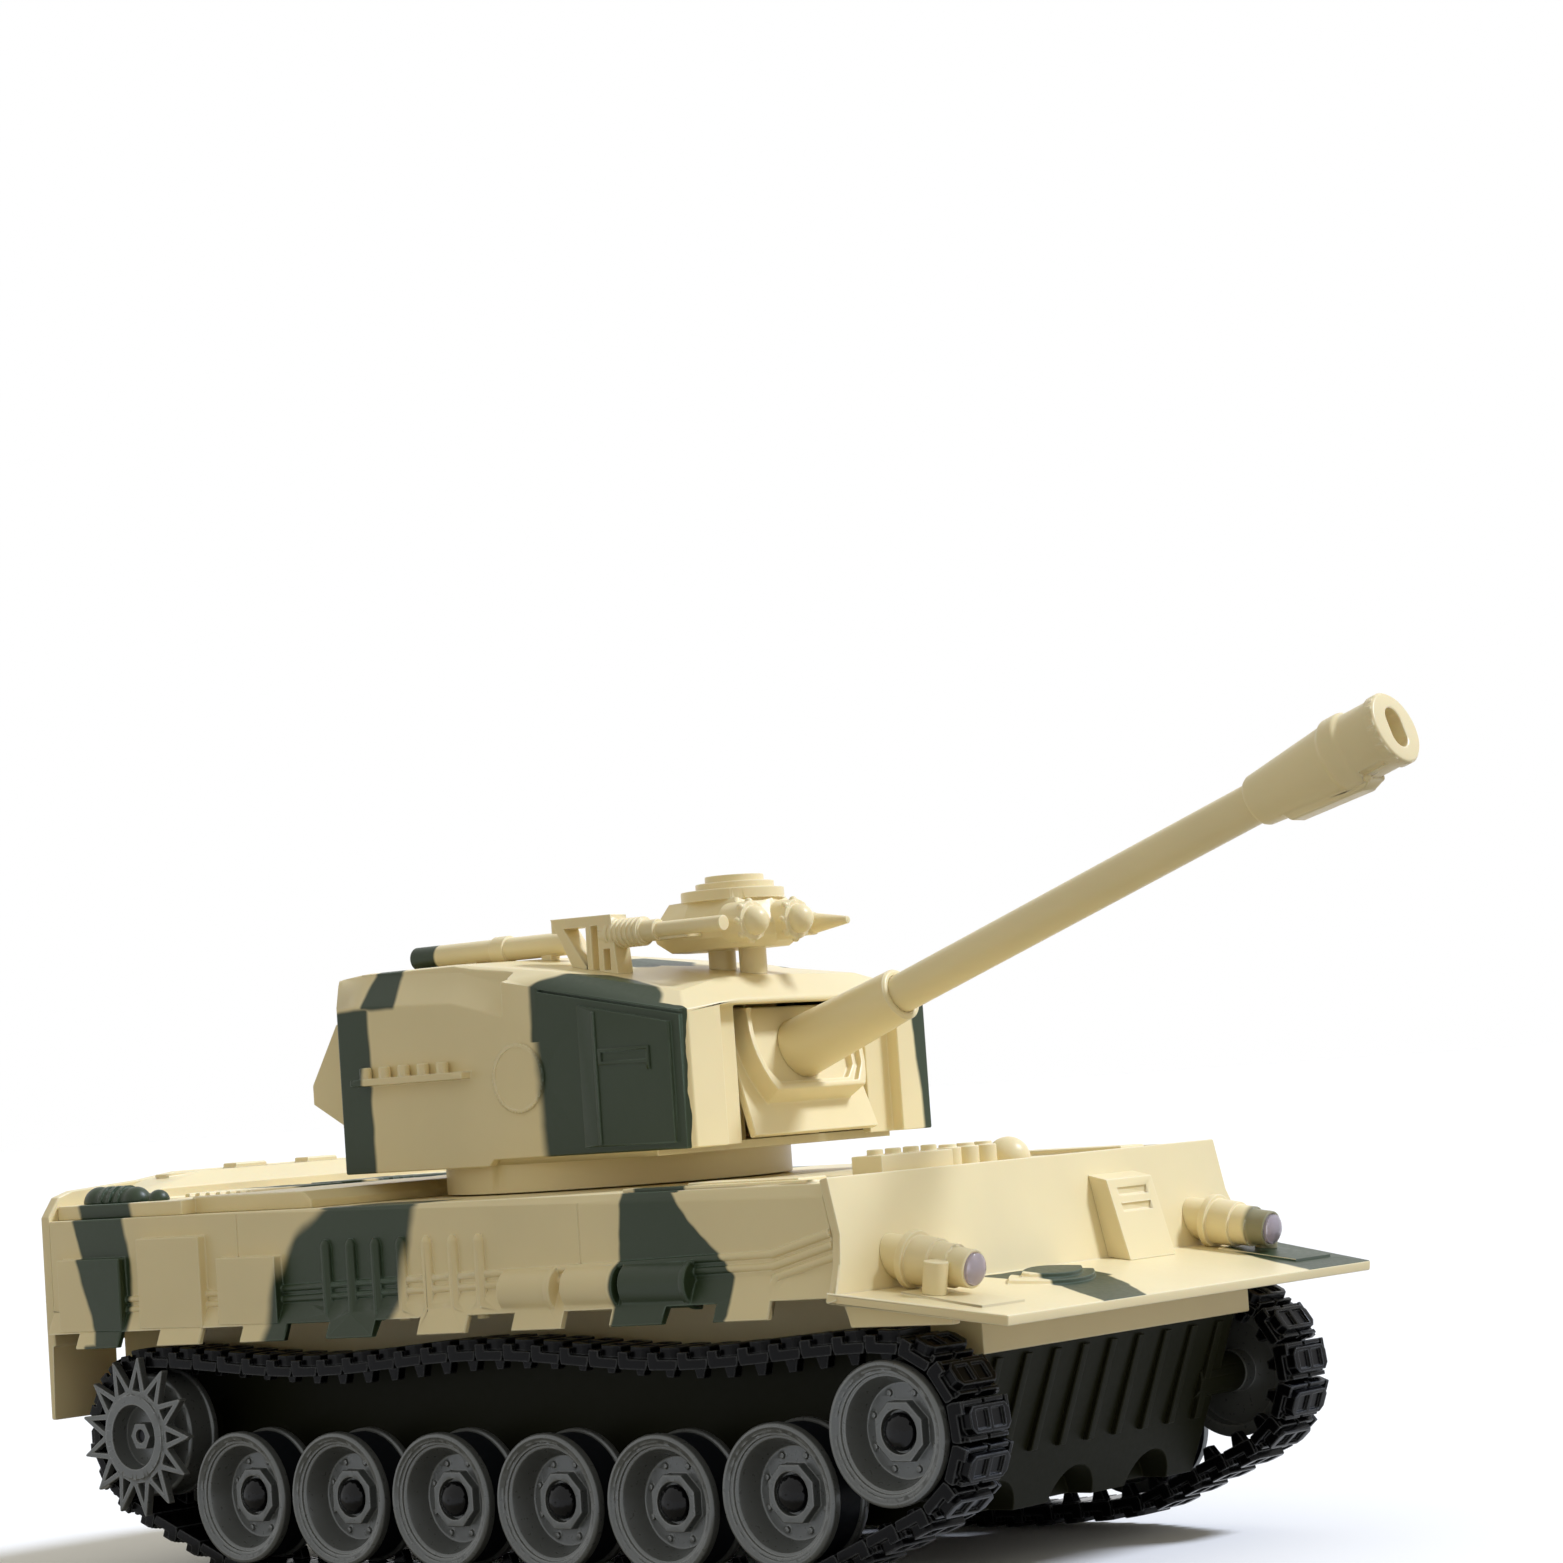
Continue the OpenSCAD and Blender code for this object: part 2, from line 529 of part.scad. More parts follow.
// Power switch: a fixed housing in the tub and a slider that reaches through the floor
housing_h = 8;
module switch_housing() color([0.08, 0.08, 0.08]) chassis()
    translate([switch_x - 3, switch_y - 6, tub_floor]) difference() {
        cube([switch_slot[0] + 6, 12, housing_h]);
        translate([3, 6 - switch_slot[1] / 2, -1]) cube([switch_slot[0], switch_slot[1], 4.4]);
    }
module switch_slider() color([0.85, 0.1, 0.08]) chassis()
    translate([switch_x + 0.3, switch_y - switch_slot[1] / 2 + 0.3, tub_z - 1.3]) {
        cube([switch_slot[0] - switch_travel - 0.6, switch_slot[1] - 0.6, hull_wall + 4.2]);
        for (i = [0:2]) translate([0.4 + i * 1.4, 0, -0.5]) cube([0.8, switch_slot[1] - 0.6, 0.6]);
    }

// Drive: one gearbox and one can motor for each track
gearbox_x = [sprocket_x - 14, sprocket_x + 26];
gearbox_h = 32;
motor_r = 7.7;
motor_len = 25;
motor_y = 30;
motor_z = tub_floor + 12;
module gearbox() difference() {
    union() {
        translate([gearbox_x[0], -gearbox_out_y, tub_floor])
            cube([gearbox_x[1] - gearbox_x[0], gearbox_out_y - gearbox_in_y, gearbox_h]);
        translate([gearbox_x[1] - bite, -motor_y, motor_z]) rod_x(0, 2 + bite, 9);
    }
    shaft_y(sprocket_x, sprocket_z, gearbox_in_y + 3, gearbox_out_y + 1, axle_r + running_fit);
    for (y = [gearbox_in_y - 1, gearbox_out_y - 2]) shaft_y(sprocket_x + 16, sprocket_z + 3, y, y + 3, 5);
}
module gearbox_right() color([0.25, 0.25, 0.27]) chassis() gearbox();
module gearbox_left() color([0.25, 0.25, 0.27]) chassis() left_hand() gearbox();
module drive_motors() color([0.6, 0.6, 0.62]) chassis() both_sides()
    translate([gearbox_x[1] + 2, -motor_y, motor_z]) difference() {
        union() {
            rod_x(0, motor_len, motor_r);
            rod_x(motor_len - bite, motor_len + 2.5, 3);
        }
        for (s = [-1, 1]) translate([-1, s * (motor_r - 1) - (s > 0 ? 0 : 3), -motor_r])
            cube([motor_len + 5, 3, 2 * motor_r]);
    }

// Upper hull: deck, inner side walls, turret seat and rear bulkhead, in one moulding
spindle_r = 9;
deck_under = deck_z - hull_wall;
seat_r = collar_r - 5;
module upper_hull() color([0.8, 0.71, 0.5]) chassis() difference() {
    union() {
        translate([-hull_rear, -skirt_in_y, deck_under])
            cube([skirt_front_x + hull_rear, 2 * skirt_in_y, hull_wall]);
        both_sides() translate([-hull_rear, -inner_wall_out, nose_z + 1.5])
            cube([skirt_front_x + hull_rear, hull_wall, deck_under - nose_z - 1.5 + bite]);
        translate([-hull_rear, -inner_wall_out, tub_top_z + lap])
            cube([hull_wall, 2 * inner_wall_out, deck_under - tub_top_z]);
        translate([turret_x, 0, deck_z - bite]) cylinder(h = 2 + bite, r = seat_r);
        for (x = [-1, 1], y = [-1, 1]) translate([turret_x + 17 * x, 12 * y, deck_under - 3.5])
            cylinder(h = 3.5 + bite, r = 2.5);
        // Raised strips along the deck's front edge, with a hinged-lid outline
        both_sides() {
            translate([glacis_x - 44, -skirt_in_y + 6, deck_z - bite]) cube([30, 9, 1.2 + bite]);
            translate([glacis_x - 58, -skirt_in_y + 1.5, deck_z - bite]) cube([50, 3, 0.8 + bite]);
        }
    }
    ahead_of_glacis(glacis_t + 0.1);
    translate([turret_x, 0, deck_under - 5]) cylinder(h = 12, r = spindle_r + running_fit);
    translate([turret_x, 0, deck_z + 0.6]) difference() {
        cylinder(h = 4, r = seat_r - 3);
        cylinder(h = 4, r = spindle_r + 4);
    }
}

// Side skirt: a wall with a flared, tabbed foot, and moulded boxes, ribs, conduits and drums
skirt_len = skirt_front_x + hull_rear;
flare_out = 2.2;
flare_h = 5;
tab_pitch = 28.35;
tab_w = 14.6;
tab_first = -47.5;
box_proud = 2.3;
boxes = [[-54.6, 22.3, 14.8], [-26, 21.7, 18.6], [1.2, 19.7, 13]];
rib_first = 35.8;
rib_pitch = 7.92;
skirt_ribs = 7;
conduit_r = 0.8;
conduit_slope = 1.55;
edge_drop = 2.7;
drums = [[90.4, 15.7], [108.8, 15.2], [125.2, 18.9]];
drum_skirt_r = 5;

module skirt_foot(points, x0, x1)
    translate([-hull_rear, -skirt_y, skirt_z]) rotate([0, -skirt_slope, 0]) translate([x0 + hull_rear, 0,
        0])
        rotate([90, 0, 90]) linear_extrude(x1 - x0) polygon(points);

module side_skirt() {
    slope_out = flare_out / flare_h;
    upper = deck_z - skirt_z;
    difference() {
        union() {
            side_view([[-hull_rear, skirt_z + flare_h + 0.3],
                [skirt_front_x, skirt_line(skirt_front_x) + flare_h + 0.3],
                [skirt_front_x, deck_z], [-hull_rear, deck_z]], -skirt_y, -skirt_in_y);
            skirt_foot([[0, flare_h + 0.6], [1.8, flare_h + 0.6], [1.8, flare_h], [-0.4, 0], [-flare_out,
                0],
                [0, flare_h]], -hull_rear, skirt_front_x);
            for (k = [0:tab_count - 1]) skirt_foot([[-0.4, bite], [-0.4 - slope_out * tab_h, -tab_h],
                [-flare_out - slope_out * tab_h, -tab_h], [-flare_out + slope_out * bite, bite]],
                tab_first + k * tab_pitch, tab_first + k * tab_pitch + tab_w);
            for (b = boxes) translate([b[0], -skirt_y - box_proud, skirt_line(b[0]) + 0.6])
                cube([b[1], box_proud + bite, b[2] + 2]);
            for (k = [0:skirt_ribs - 1]) translate([rib_first + k * rib_pitch, -skirt_y - 0.1, 0]) {
                translate([0, 0, skirt_line(rib_first)]) cylinder(h = 16.8, r = 1.4);
                translate([0, 0, skirt_line(rib_first) + 16.8]) cylinder(h = 1.2, r1 = 1.4, r2 = 0.7);
            }
            for (z = [6.2, 8.6]) translate([0, -skirt_y + 0.1, skirt_z + z]) rotate([0, -conduit_slope,
                0])
                rod_x(-33, glacis_x - 15, conduit_r);
            for (k = [0:2]) translate([glacis_x - 15, -skirt_y + 0.05, skirt_z + 8.4 + 2.4 * k])
                rotate([0, -13.8, 0]) rod_x(-0.8, 22, conduit_r + 0.1);
            translate([glacis_x - 17, -skirt_y, skirt_z + 5.6]) rotate([0, -50, 0]) rod_x(-1, 4,
                conduit_r + 0.2);
            for (d = drums) translate([0, -skirt_y + 1.6, skirt_line(d[0]) + 4.6]) {
                rod_x(d[0], d[0] + d[1], drum_skirt_r);
                rod_x(d[0] + d[1] - 1.6, d[0] + d[1], drum_skirt_r + 0.4);
            }
        }
        // The drums don't show on the wall's inner face, and shallow seams divide the panels
        translate([drums[0][0] - 2, -skirt_in_y, skirt_z - 2]) cube([60, 8, 24]);
        for (x = [6.8, 112.6]) translate([x, -skirt_y - 0.05, skirt_line(x) + flare_h + 11])
            cube([0.6, 0.4, 40], center = true);
        // The top edge slants outwards, more so towards the front
        translate([skirt_front_x, -skirt_y, deck_z - edge_drop]) rotate([58, 0.72, 0])
            translate([-300, -20, 0]) cube([320, 40, 10]);
        ahead_of_glacis(glacis_t + 0.1);
    }
}
module side_skirt_right() color([0.8, 0.71, 0.5]) chassis() side_skirt();
module side_skirt_left() color([0.8, 0.71, 0.5]) chassis() left_hand() side_skirt();

// Front moulding: leaning glacis with flared feet, sloping front plate, side cheeks and nose box
plate_front_x = glacis_x + plate_reach;
glacis_rise = 1.3;
module plate_frame() translate([glacis_x, 0, plate_top_z]) rotate([0, plate_slope, 0]) children();
module plate_pads() both_sides() translate([12, -plate_tip_hw + 3, -bite]) cube([20, 14, 0.5 + bite]);

module glacis_plate() color([0.82, 0.74, 0.53]) chassis() {
    drop = (deck_z - plate_top(glacis_x)) / cos(glacis_lean) + 2;
    flare_from = drop - 13;
    translate([glacis_x, 0, deck_z]) rotate([0, -glacis_lean, 0]) translate([-glacis_t, 0, 0])
        rotate([90, 0, 90]) linear_extrude(glacis_t)
            polygon([[-skirt_y, glacis_rise], [-skirt_y, -flare_from], [-skirt_y - glacis_flare * 0.35,
                -drop + 7],
                [-glacis_foot_hw, -drop], [glacis_foot_hw, -drop], [skirt_y + glacis_flare * 0.35,
                    -drop + 7],
                [skirt_y, -flare_from], [skirt_y, glacis_rise]]);
    plate_frame() {
        reach = plate_reach / cos(plate_slope);
        translate([0, 0, -glacis_t]) linear_extrude(glacis_t)
            polygon([[2.4, -glacis_foot_hw], [reach, -plate_tip_hw], [reach, plate_tip_hw], [2.4,
                glacis_foot_hw]]);
        // Raised boat-shaped lid in two steps, and the two stepped pads of the front plate
        for (k = [0, 1]) translate([16.5, -19, -bite]) linear_extrude(1 + k + bite)
            polygon([for (t = [-1:0.125:0.9]) each [(1 - 0.3 * k) * [6.5 * (1 - t * t), 15 * t]],
                for (t = [1:-0.125:-0.9]) each [(1 - 0.3 * k) * [-6.5 * (1 - t * t), 15 * t]]]);
        plate_pads();
    }
    intersection() {
        side_view([[glacis_x - 2.2, nose_z], [nose_x, nose_z], [nose_x, plate_top(nose_x) - 0.5],
            [glacis_x - 2.2, plate_top(glacis_x - 2.2) - 0.5]], -inner_wall_out, inner_wall_out);
        ahead_of_glacis(glacis_t);
        difference() {
            translate([0, -100, 0]) cube([300, 200, 100]);
            translate([0, -inner_wall_y, 0]) cube([nose_x - hull_wall, 2 * inner_wall_y, 100]);
        }
    }
    both_sides() intersection() {
        ahead_of_glacis(glacis_t);
        side_view([[glacis_x - 1.9, 56], [glacis_x + 27, 56], [glacis_x + 27, plate_top(glacis_x + 27)
            - 1],
            [glacis_x - 1.9, plate_top(glacis_x) - 1]], -100, 0);
        linear_extrude(100) polygon([[glacis_x - 1.9, -skirt_y - 1.6], [glacis_x + 27,
            -plate_tip_hw - 0.4],
            [glacis_x + 27, 2 - plate_tip_hw], [glacis_x - 1.9, 0.6 - skirt_y]]);
    }
}

// Rear plate: its top follows the rear hump, mudguards hang behind the sprockets, with towing lugs
hump_h = 9.6;
hump_half = [[-28, hump_h], [-40, 8.2], [-skirt_y + 8, 6.9], [-skirt_y + 3.4, 5.6], [-skirt_y, 1]];
function plus_mirror(half) = concat(half, [for (i = [len(half) - 1:-1:0]) [-half[i][0], half[i][1]]]);
module rear_plate() color([0.78, 0.69, 0.48]) chassis() difference() {
    union() {
        translate([rear_x, 0, deck_z]) rotate([90, 0, 90]) linear_extrude(rear_plate_t)
            polygon(plus_mirror(concat(hump_half, [[-skirt_y, tub_top_z - deck_z]])));
        both_sides() translate([rear_x, -skirt_y, mudguard_z])
            cube([1.8, skirt_y - track_in_y + 1, tub_top_z - mudguard_z + bite]);
        both_sides() translate([rear_x - lug_t, -16, tub_top_z + 5]) cube([lug_t + bite, 9, 14]);
    }
    for (y = [-1, 1] * 40) translate([rear_x - 1, y - 9, tub_top_z + 6]) cube([2, 18, 10]);
}

// Engine deck behind the turret: two tiers, louvred grilles, and a raised hump along the rear edge
tier_h = 3.4;
tier_x = [-hull_rear + 0.1, -15];
tier_hw = skirt_in_y - 1;
panel_front = turret_x - 38;
panel_hw = 62;
hump_front = tier_x[0] + 15;
louvres = 7;

module engine_deck() color([0.8, 0.71, 0.5]) chassis() {
    difference() {
        union() {
            translate([tier_x[0], -tier_hw, deck_z]) cube([tier_x[1] - tier_x[0], 2 * tier_hw, tier_h]);
            side_view([[tier_x[1] - 1, deck_z], [panel_front, deck_z], [panel_front, deck_z + 1.8],
                [panel_front - 3, deck_z + tier_h + 0.5], [tier_x[1] - 1, deck_z + tier_h + 0.5]],
                    -panel_hw, panel_hw);
            for (y = [-1, 1], k = [0:louvres - 1])
                translate([hump_front + 3 + k * 3.6, y * 27 - 15, deck_z + tier_h - bite]) cube([1.6, 30,
                    0.9 + bite]);
            translate([hump_front + 15, 0, deck_z + tier_h - bite]) cylinder(h = 1 + bite, r = 9);
        }
        for (y = [-1, 1]) translate([hump_front + 1, y * 27 - 16.5, deck_z + tier_h - 0.8]) difference() {
            cube([28, 33, 2]);
            translate([1.2, 1.2, -1]) cube([25.6, 30.6, 4]);
        }
        translate([turret_x, 0, deck_z - 1]) cylinder(h = 12, r = collar_r + 1.5);
    }
    // Hump along the rear plate
    intersection() {
        translate([tier_x[0], 0, deck_z + tier_h - bite]) rotate([90, 0, 90]) linear_extrude(30)
            polygon(plus_mirror([for (p = hump_half) if (p[0] > -60) p - [0, tier_h], [-53,
                4.4 - tier_h], [-54, 0]]));
        side_view([[tier_x[0], deck_z], [tier_x[0], deck_z + hump_h - 0.4], [tier_x[0] + 9,
            deck_z + hump_h - 0.1],
            [hump_front, deck_z + 6], [hump_front, deck_z]], -60, 60);
    }
    for (y = [-34, -12, 12, 34]) translate([tier_x[0] + 4, y - 5, deck_z + 7]) cube([5, 10,
        y * y > 400 ? 2.2 : 3.6]);
}

// Ribbed exhaust covers at the rear corners of the deck, each with a small cap beside it
dome_r = 4;
dome_y = 59.5;
module exhaust_domes() color([0.24, 0.3, 0.28]) chassis() both_sides()
    intersection() {
        translate([tier_x[0] + 7.6, -dome_y, deck_z + tier_h]) {
            rod_x(0, 13, dome_r - 0.5);
            sphere(r = dome_r);
            translate([13, 0, 0]) sphere(r = dome_r - 0.4);
            for (x = [3.4:3:12]) rod_x(x, x + 1.3, dome_r);
            translate([21, 0, 0]) sphere(r = 2.6);
        }
        translate([tier_x[0], -dome_y - 6, deck_z + tier_h]) cube([40, 12, 8]);
    }

// Headlights on the front plate, their axes parallel to it: stepped housings that grow out of the glacis,
// lenses and lamps
lamp_y = 54;
lamp_h = 5.6;
lamp_u = 22.6;
lens_r = 3.2;
post_u = lamp_u - 5;
module lamp_frame() chassis() plate_frame() both_sides() translate([0, -lamp_y, lamp_h]) children();
module headlight_housings() color([0.82, 0.74, 0.53]) difference() {
    lamp_frame() difference() {
        union() {
            rod_x(-2, lamp_u - 15.5, 4.5);
            rod_x(lamp_u - 15.7, lamp_u - 14, 5.9);
            rod_x(lamp_u - 14.2, lamp_u - 8.5, 5);
            rod_x(lamp_u - 8.7, lamp_u - 4.5, 4.4);
            rod_x(lamp_u - 4.7, lamp_u, 3.9);
            translate([post_u, -6, -lamp_h]) cylinder(h = 7, r = 2.5);
        }
        rod_x(lamp_u - 5.5, lamp_u + 1, lens_r + 0.05);
        // Flat foot on the sloping front plate
        translate([-10, -20, -lamp_h - 10]) cube([60, 40, 10]);
    }
    chassis() plate_frame() plate_pads();
    chassis() difference() {
        translate([glacis_x - 40, -100, 0]) cube([60, 200, 120]);
        ahead_of_glacis(0);
    }
}
module headlight_lenses() color([0.9, 0.93, 0.95, 0.5]) lamp_frame() intersection() {
    translate([lamp_u - 2.6, 0, 0]) sphere(r = 4.5);
    rod_x(lamp_u - 2.2, lamp_u + 4, lens_r);
}
module headlight_leds() color([0.95, 0.55, 0.2]) lamp_frame() {
    rod_x(lamp_u - 5.5, lamp_u - 4.3, 1.8);
    rod_x(lamp_u - 4.5, lamp_u - 3.4, 1.5);
    translate([lamp_u - 3.4, 0, 0]) sphere(r = 1);
}

// Driver's vision box on the glacis, with two slots under its brow
visor_y = [18, 35];
module driver_visor() color([0.82, 0.74, 0.53]) chassis() intersection() {
    ahead_of_glacis(0);
    difference() {
        side_view([[glacis_x, deck_z - 3.6], [glacis_x + 5.6, deck_z - 5], [glacis_x + 10.5,
            plate_top(glacis_x + 10.5)],
            [glacis_x, plate_top(glacis_x)]], visor_y[0], visor_y[1]);
        for (k = [0, 1]) translate([glacis_x + 5.8 + 0.9 * k, visor_y[0] + 3, deck_z - 8.6 - 3.4 * k])
            cube([4, visor_y[1] - visor_y[0] - 6, 1.7]);
    }
}

// Row of deck fittings behind the glacis: a block with studs, three drums and a dome
vent_x = glacis_x - 8.5;
module deck_vent_block() color([0.8, 0.71, 0.5]) chassis() {
    translate([vent_x - 4, -46, deck_z]) cube([8, 24, 4.4]);
    for (k = [0:3]) translate([vent_x, -43 + 6 * k, deck_z + 4.2]) cylinder(h = 1.4, r = 1.7);
    for (k = [0:2]) translate([vent_x, -18.5 + 6.2 * k, deck_z]) {
        cylinder(h = 4.6, r = 2.8);
        translate([0, 0, 4.4]) cylinder(h = 0.9, r = 1.9);
    }
    translate([vent_x, 2.5, deck_z]) intersection() {
        translate([0, 0, 1]) sphere(r = 4.8);
        cylinder(h = 10, r = 6);
    }
}

// Turret drive below the deck, on four posts
drive_top = deck_under - 3.5;
module turret_gearbox() color([0.25, 0.25, 0.27]) chassis() difference() {
    union() {
        translate([turret_x - 20, -15, drive_top - 18]) cube([40, 30, 18]);
        translate([turret_x + 20 - bite, 0, drive_top - 9]) rod_x(0, 18, 7.5);
    }
    translate([turret_x, 0, drive_top - 8]) cylinder(h = 10, r = spindle_r + running_fit);
}

// Turret: places in its plan, from the pivot
turret_fx = turret_x + turret_front;
turret_rx = turret_x - turret_back;
roof_z = turret_z + turret_h;
brow_z = roof_z - 12;
trunnion_x = turret_x + trunnion_dx;
mantlet_hw = 21.4;
port_hw = mantlet_hw + 1;
port_top = brow_z - 1.2;
recess = 3.2;
recess_hw = port_hw + 8.1;

// Half outlines run from the middle of the front, round the right side, to the middle of the rear
function both_halves(half) = concat(half, [for (i = [len(half) - 2:-1:1]) [half[i][0], -half[i][1],
    half[i][2]]]);
function turret_ring(inset, z) = both_halves([[turret_fx - inset, 0, z], [turret_fx - inset, -24, z],
    [turret_fx - inset, inset - turret_hw + 0.5, z], [turret_x + 17, inset - turret_hw, z],
    [turret_x - 12, inset - turret_hw, z], [turret_rx + 3 + inset, inset - turret_hw, z],
    [turret_rx + inset, inset - turret_hw + 4, z], [turret_rx + inset, 0, z]]);
function raise(ring, heights) = [for (i = [0:len(ring) - 1])
    [ring[i][0], ring[i][1], heights[i < len(heights) ? i : len(ring) - i]]];
// The roof falls towards the front: heights of its edge and of its crown at the outline's points
edge_heights = [brow_z, brow_z, brow_z - 2, roof_z - 6, roof_z - 0.5, roof_z, roof_z, roof_z];
crown_heights = [brow_z + 5.3, brow_z + 5, brow_z + 2.5, roof_z - 2.5, roof_z + 1, roof_z + 1, roof_z + 1,
    roof_z + 1.5];
module turret_body(t)
    loft([turret_ring(t, turret_z - (t > 0 ? 1 : 0)),
        raise(turret_ring(t, 0), edge_heights - [for (h = edge_heights) t]),
        raise(turret_ring(t + 6, 0), crown_heights - [for (h = crown_heights) t])],
        [turret_x + 2, 0, roof_z + 1.5 - t]);

// The rear half of the side wall is chamfered below the roof
module shoulder_cut() {
    low = roof_z - 7;
    drop = [0, 0, 1.2, 5.2];
    stations = [turret_rx - 5, turret_rx + 10, turret_x - 9, turret_x + 7];
    loft([for (k = [0:3]) [[stations[k], -turret_hw - 0.1, low - drop[k]], [stations[k], -turret_hw - 4,
        low - drop[k]],
        [stations[k], -turret_hw - 4, low + 14 - drop[k]], [stations[k], -turret_hw + 5,
            low + 14 - drop[k]],
        [stations[k], -turret_hw + 4.6, low + 7.2 - drop[k]]]]);
}

module turret_shell() color([0.8, 0.71, 0.5]) chassis() {
    rack_z = turret_z + 20;
    disc_z = turret_z + 19.2;
    difference() {
        union() {
            difference() {
                turret_body(0);
                both_sides() shoulder_cut();
            }
            both_sides() {
                // Rack with five studs, and the plain raised ring beside it
                translate([turret_rx + 9, -turret_hw - 3, rack_z]) cube([36, 3 + bite, 1.6]);
                for (k = [0:4]) translate([turret_rx + 13 + 6.2 * k, -turret_hw - 1.6, rack_z + 1.4])
                    cylinder(h = 2.8, r = 1.4);
                translate([turret_x + 10.8, -turret_hw + bite, disc_z]) rotate([90, 0, 0])
                    cylinder(h = 0.5 + bite, r = 7.8);
                // Cheek armour panel on the front half of the side
                side_view([[turret_x + 30, turret_z + 3], [turret_fx - 4, turret_z + 3], [turret_fx - 4,
                    brow_z - 4],
                    [turret_x + 30, brow_z + 1]], -turret_hw - 0.5, -turret_hw + 0.6);
                // Upright rib and handle frame on the panel
                translate([turret_x + 34.4, -turret_hw - 0.9, turret_z + 3.4]) cube([0.8, 0.9, 29]);
                translate([turret_x + 35.8, -turret_hw - 0.9, turret_z + 20.6]) difference() {
                    cube([14.8, 0.9, 3.6]);
                    translate([0.8, -1, 0.8]) cube([13.2, 1.4, 2]);
                }
                translate([turret_x + 49.8, -turret_hw - 0.9, turret_z + 19]) cube([0.8, 0.9, 2]);
            }
        }
        difference() {
            turret_body(turret_wall);
            both_sides() translate([0, turret_wall, -turret_wall / 2]) shoulder_cut();
            translate([turret_fx - recess - turret_wall, -100, 0]) cube([50, 200, 200]);
        }
        // Recess between the cheek blocks, and the gun port in it, open below
        translate([turret_fx - recess, -recess_hw, 0]) cube([20, 2 * recess_hw, port_top]);
        translate([turret_fx - 11, -port_hw, 0]) cube([20, 2 * port_hw, port_top]);
        // Seam under the roof's edge, and the bevel of the cheeks' upright edges
        both_sides() translate([turret_x + 18, -turret_hw - 1, roof_z - 7.1]) rotate([0, 10.44, 0])
            cube([43, 2, 0.55]);
        both_sides() translate([turret_fx, 0.5 - turret_hw, brow_z]) rotate([0, 0, 45])
            cube([2.2, 2.2, 100], center = true);
        // The front half of the lower edge is cut a little higher
        side_view([[turret_x - 1, turret_z - 1], [turret_x + 1.5, turret_z + 1.5], [turret_fx + 1,
            turret_z + 1.5],
            [turret_fx + 1, turret_z - 1]], -60, 60);
        both_sides() translate([turret_x + 10.8, -turret_hw - 0.3, disc_z]) rotate([90, 0, 0])
            cylinder(h = 1, r = 7);
    }
}

// Turret base: floor, collar, spindle and the two trunnion brackets
floor_t = 2;
bracket_y = [11, 14.5];
pin_r = 2;
base_front = trunnion_x + 3.5;
spindle_foot = drive_top - 6;
module turret_base() color([0.76, 0.67, 0.46]) chassis() difference() {
    union() {
        translate([0, 0, turret_z + 0.2]) linear_extrude(floor_t)
            polygon([[base_front, -turret_hw + turret_wall + 0.2], [base_front,
                turret_hw - turret_wall - 0.2],
                [turret_rx + turret_wall + 3, turret_hw - turret_wall - 0.2],
                [turret_rx + turret_wall + 0.4, turret_hw - turret_wall - 4.3],
                [turret_rx + turret_wall + 0.4, -turret_hw + turret_wall + 4.3],
                [turret_rx + turret_wall + 3, -turret_hw + turret_wall + 0.2]]);
        translate([turret_x, 0, deck_z + 0.35]) cylinder(h = turret_z - deck_z, r = collar_r);
        translate([turret_x, 0, spindle_foot]) cylinder(h = turret_z - spindle_foot, r = spindle_r);
        for (s = [-1, 1]) side_view([[trunnion_x - 9, turret_z + 1], [base_front, turret_z + 1],
            [trunnion_x + 3.4, trunnion_z + 4], [trunnion_x - 3.4, trunnion_z + 4]],
            s > 0 ? bracket_y[0] : -bracket_y[1], s > 0 ? bracket_y[1] : -bracket_y[0]);
    }
    translate([turret_x, 0, deck_z - 1]) difference() {
        cylinder(h = turret_z - deck_z - 0.8, r = collar_r - 3.5);
        cylinder(h = turret_z, r = spindle_r);
    }
    translate([turret_x, 0, spindle_foot - 1]) cylinder(h = 60, r = 5.5);
    translate([trunnion_x, 0, trunnion_z]) rotate([90, 0, 0]) cylinder(h = 80, r = pin_r + 0.01,
        center = true);
}

// Ring that keeps the spindle in the deck
module turret_retainer() color([0.3, 0.3, 0.3]) chassis() translate([turret_x, 0, drive_top + 0.4])
    difference() {
    cylinder(h = 2.6, r = spindle_r + 4);
    translate([0, 0, -1]) cylinder(h = 5, r = spindle_r + 0.02);
}

// Stowage bin on the turret's rear: a wedge with its edge to the rear
module turret_bin() color([0.8, 0.71, 0.5]) chassis() {
    hw = 36;
    apex = turret_z + 18.7;
    side_view([[turret_rx, turret_z + 9], [turret_rx, turret_z + 36], [turret_rx - bin_reach * 0.35,
        turret_z + 35],
        [turret_rx - bin_reach, apex + 2.5], [turret_rx - bin_reach, apex - 2]], -hw, hw);
    for (y = [-24, 0, 24]) side_view([[turret_rx - bin_reach * 0.3, turret_z + 35.5],
        [turret_rx - bin_reach * 0.4, turret_z + 35.4],
        [turret_rx - bin_reach * 0.95 - 0.6, apex + 4.2], [turret_rx - bin_reach * 0.85, apex + 4.2]],
            y - 1.2, y + 1.2);
}

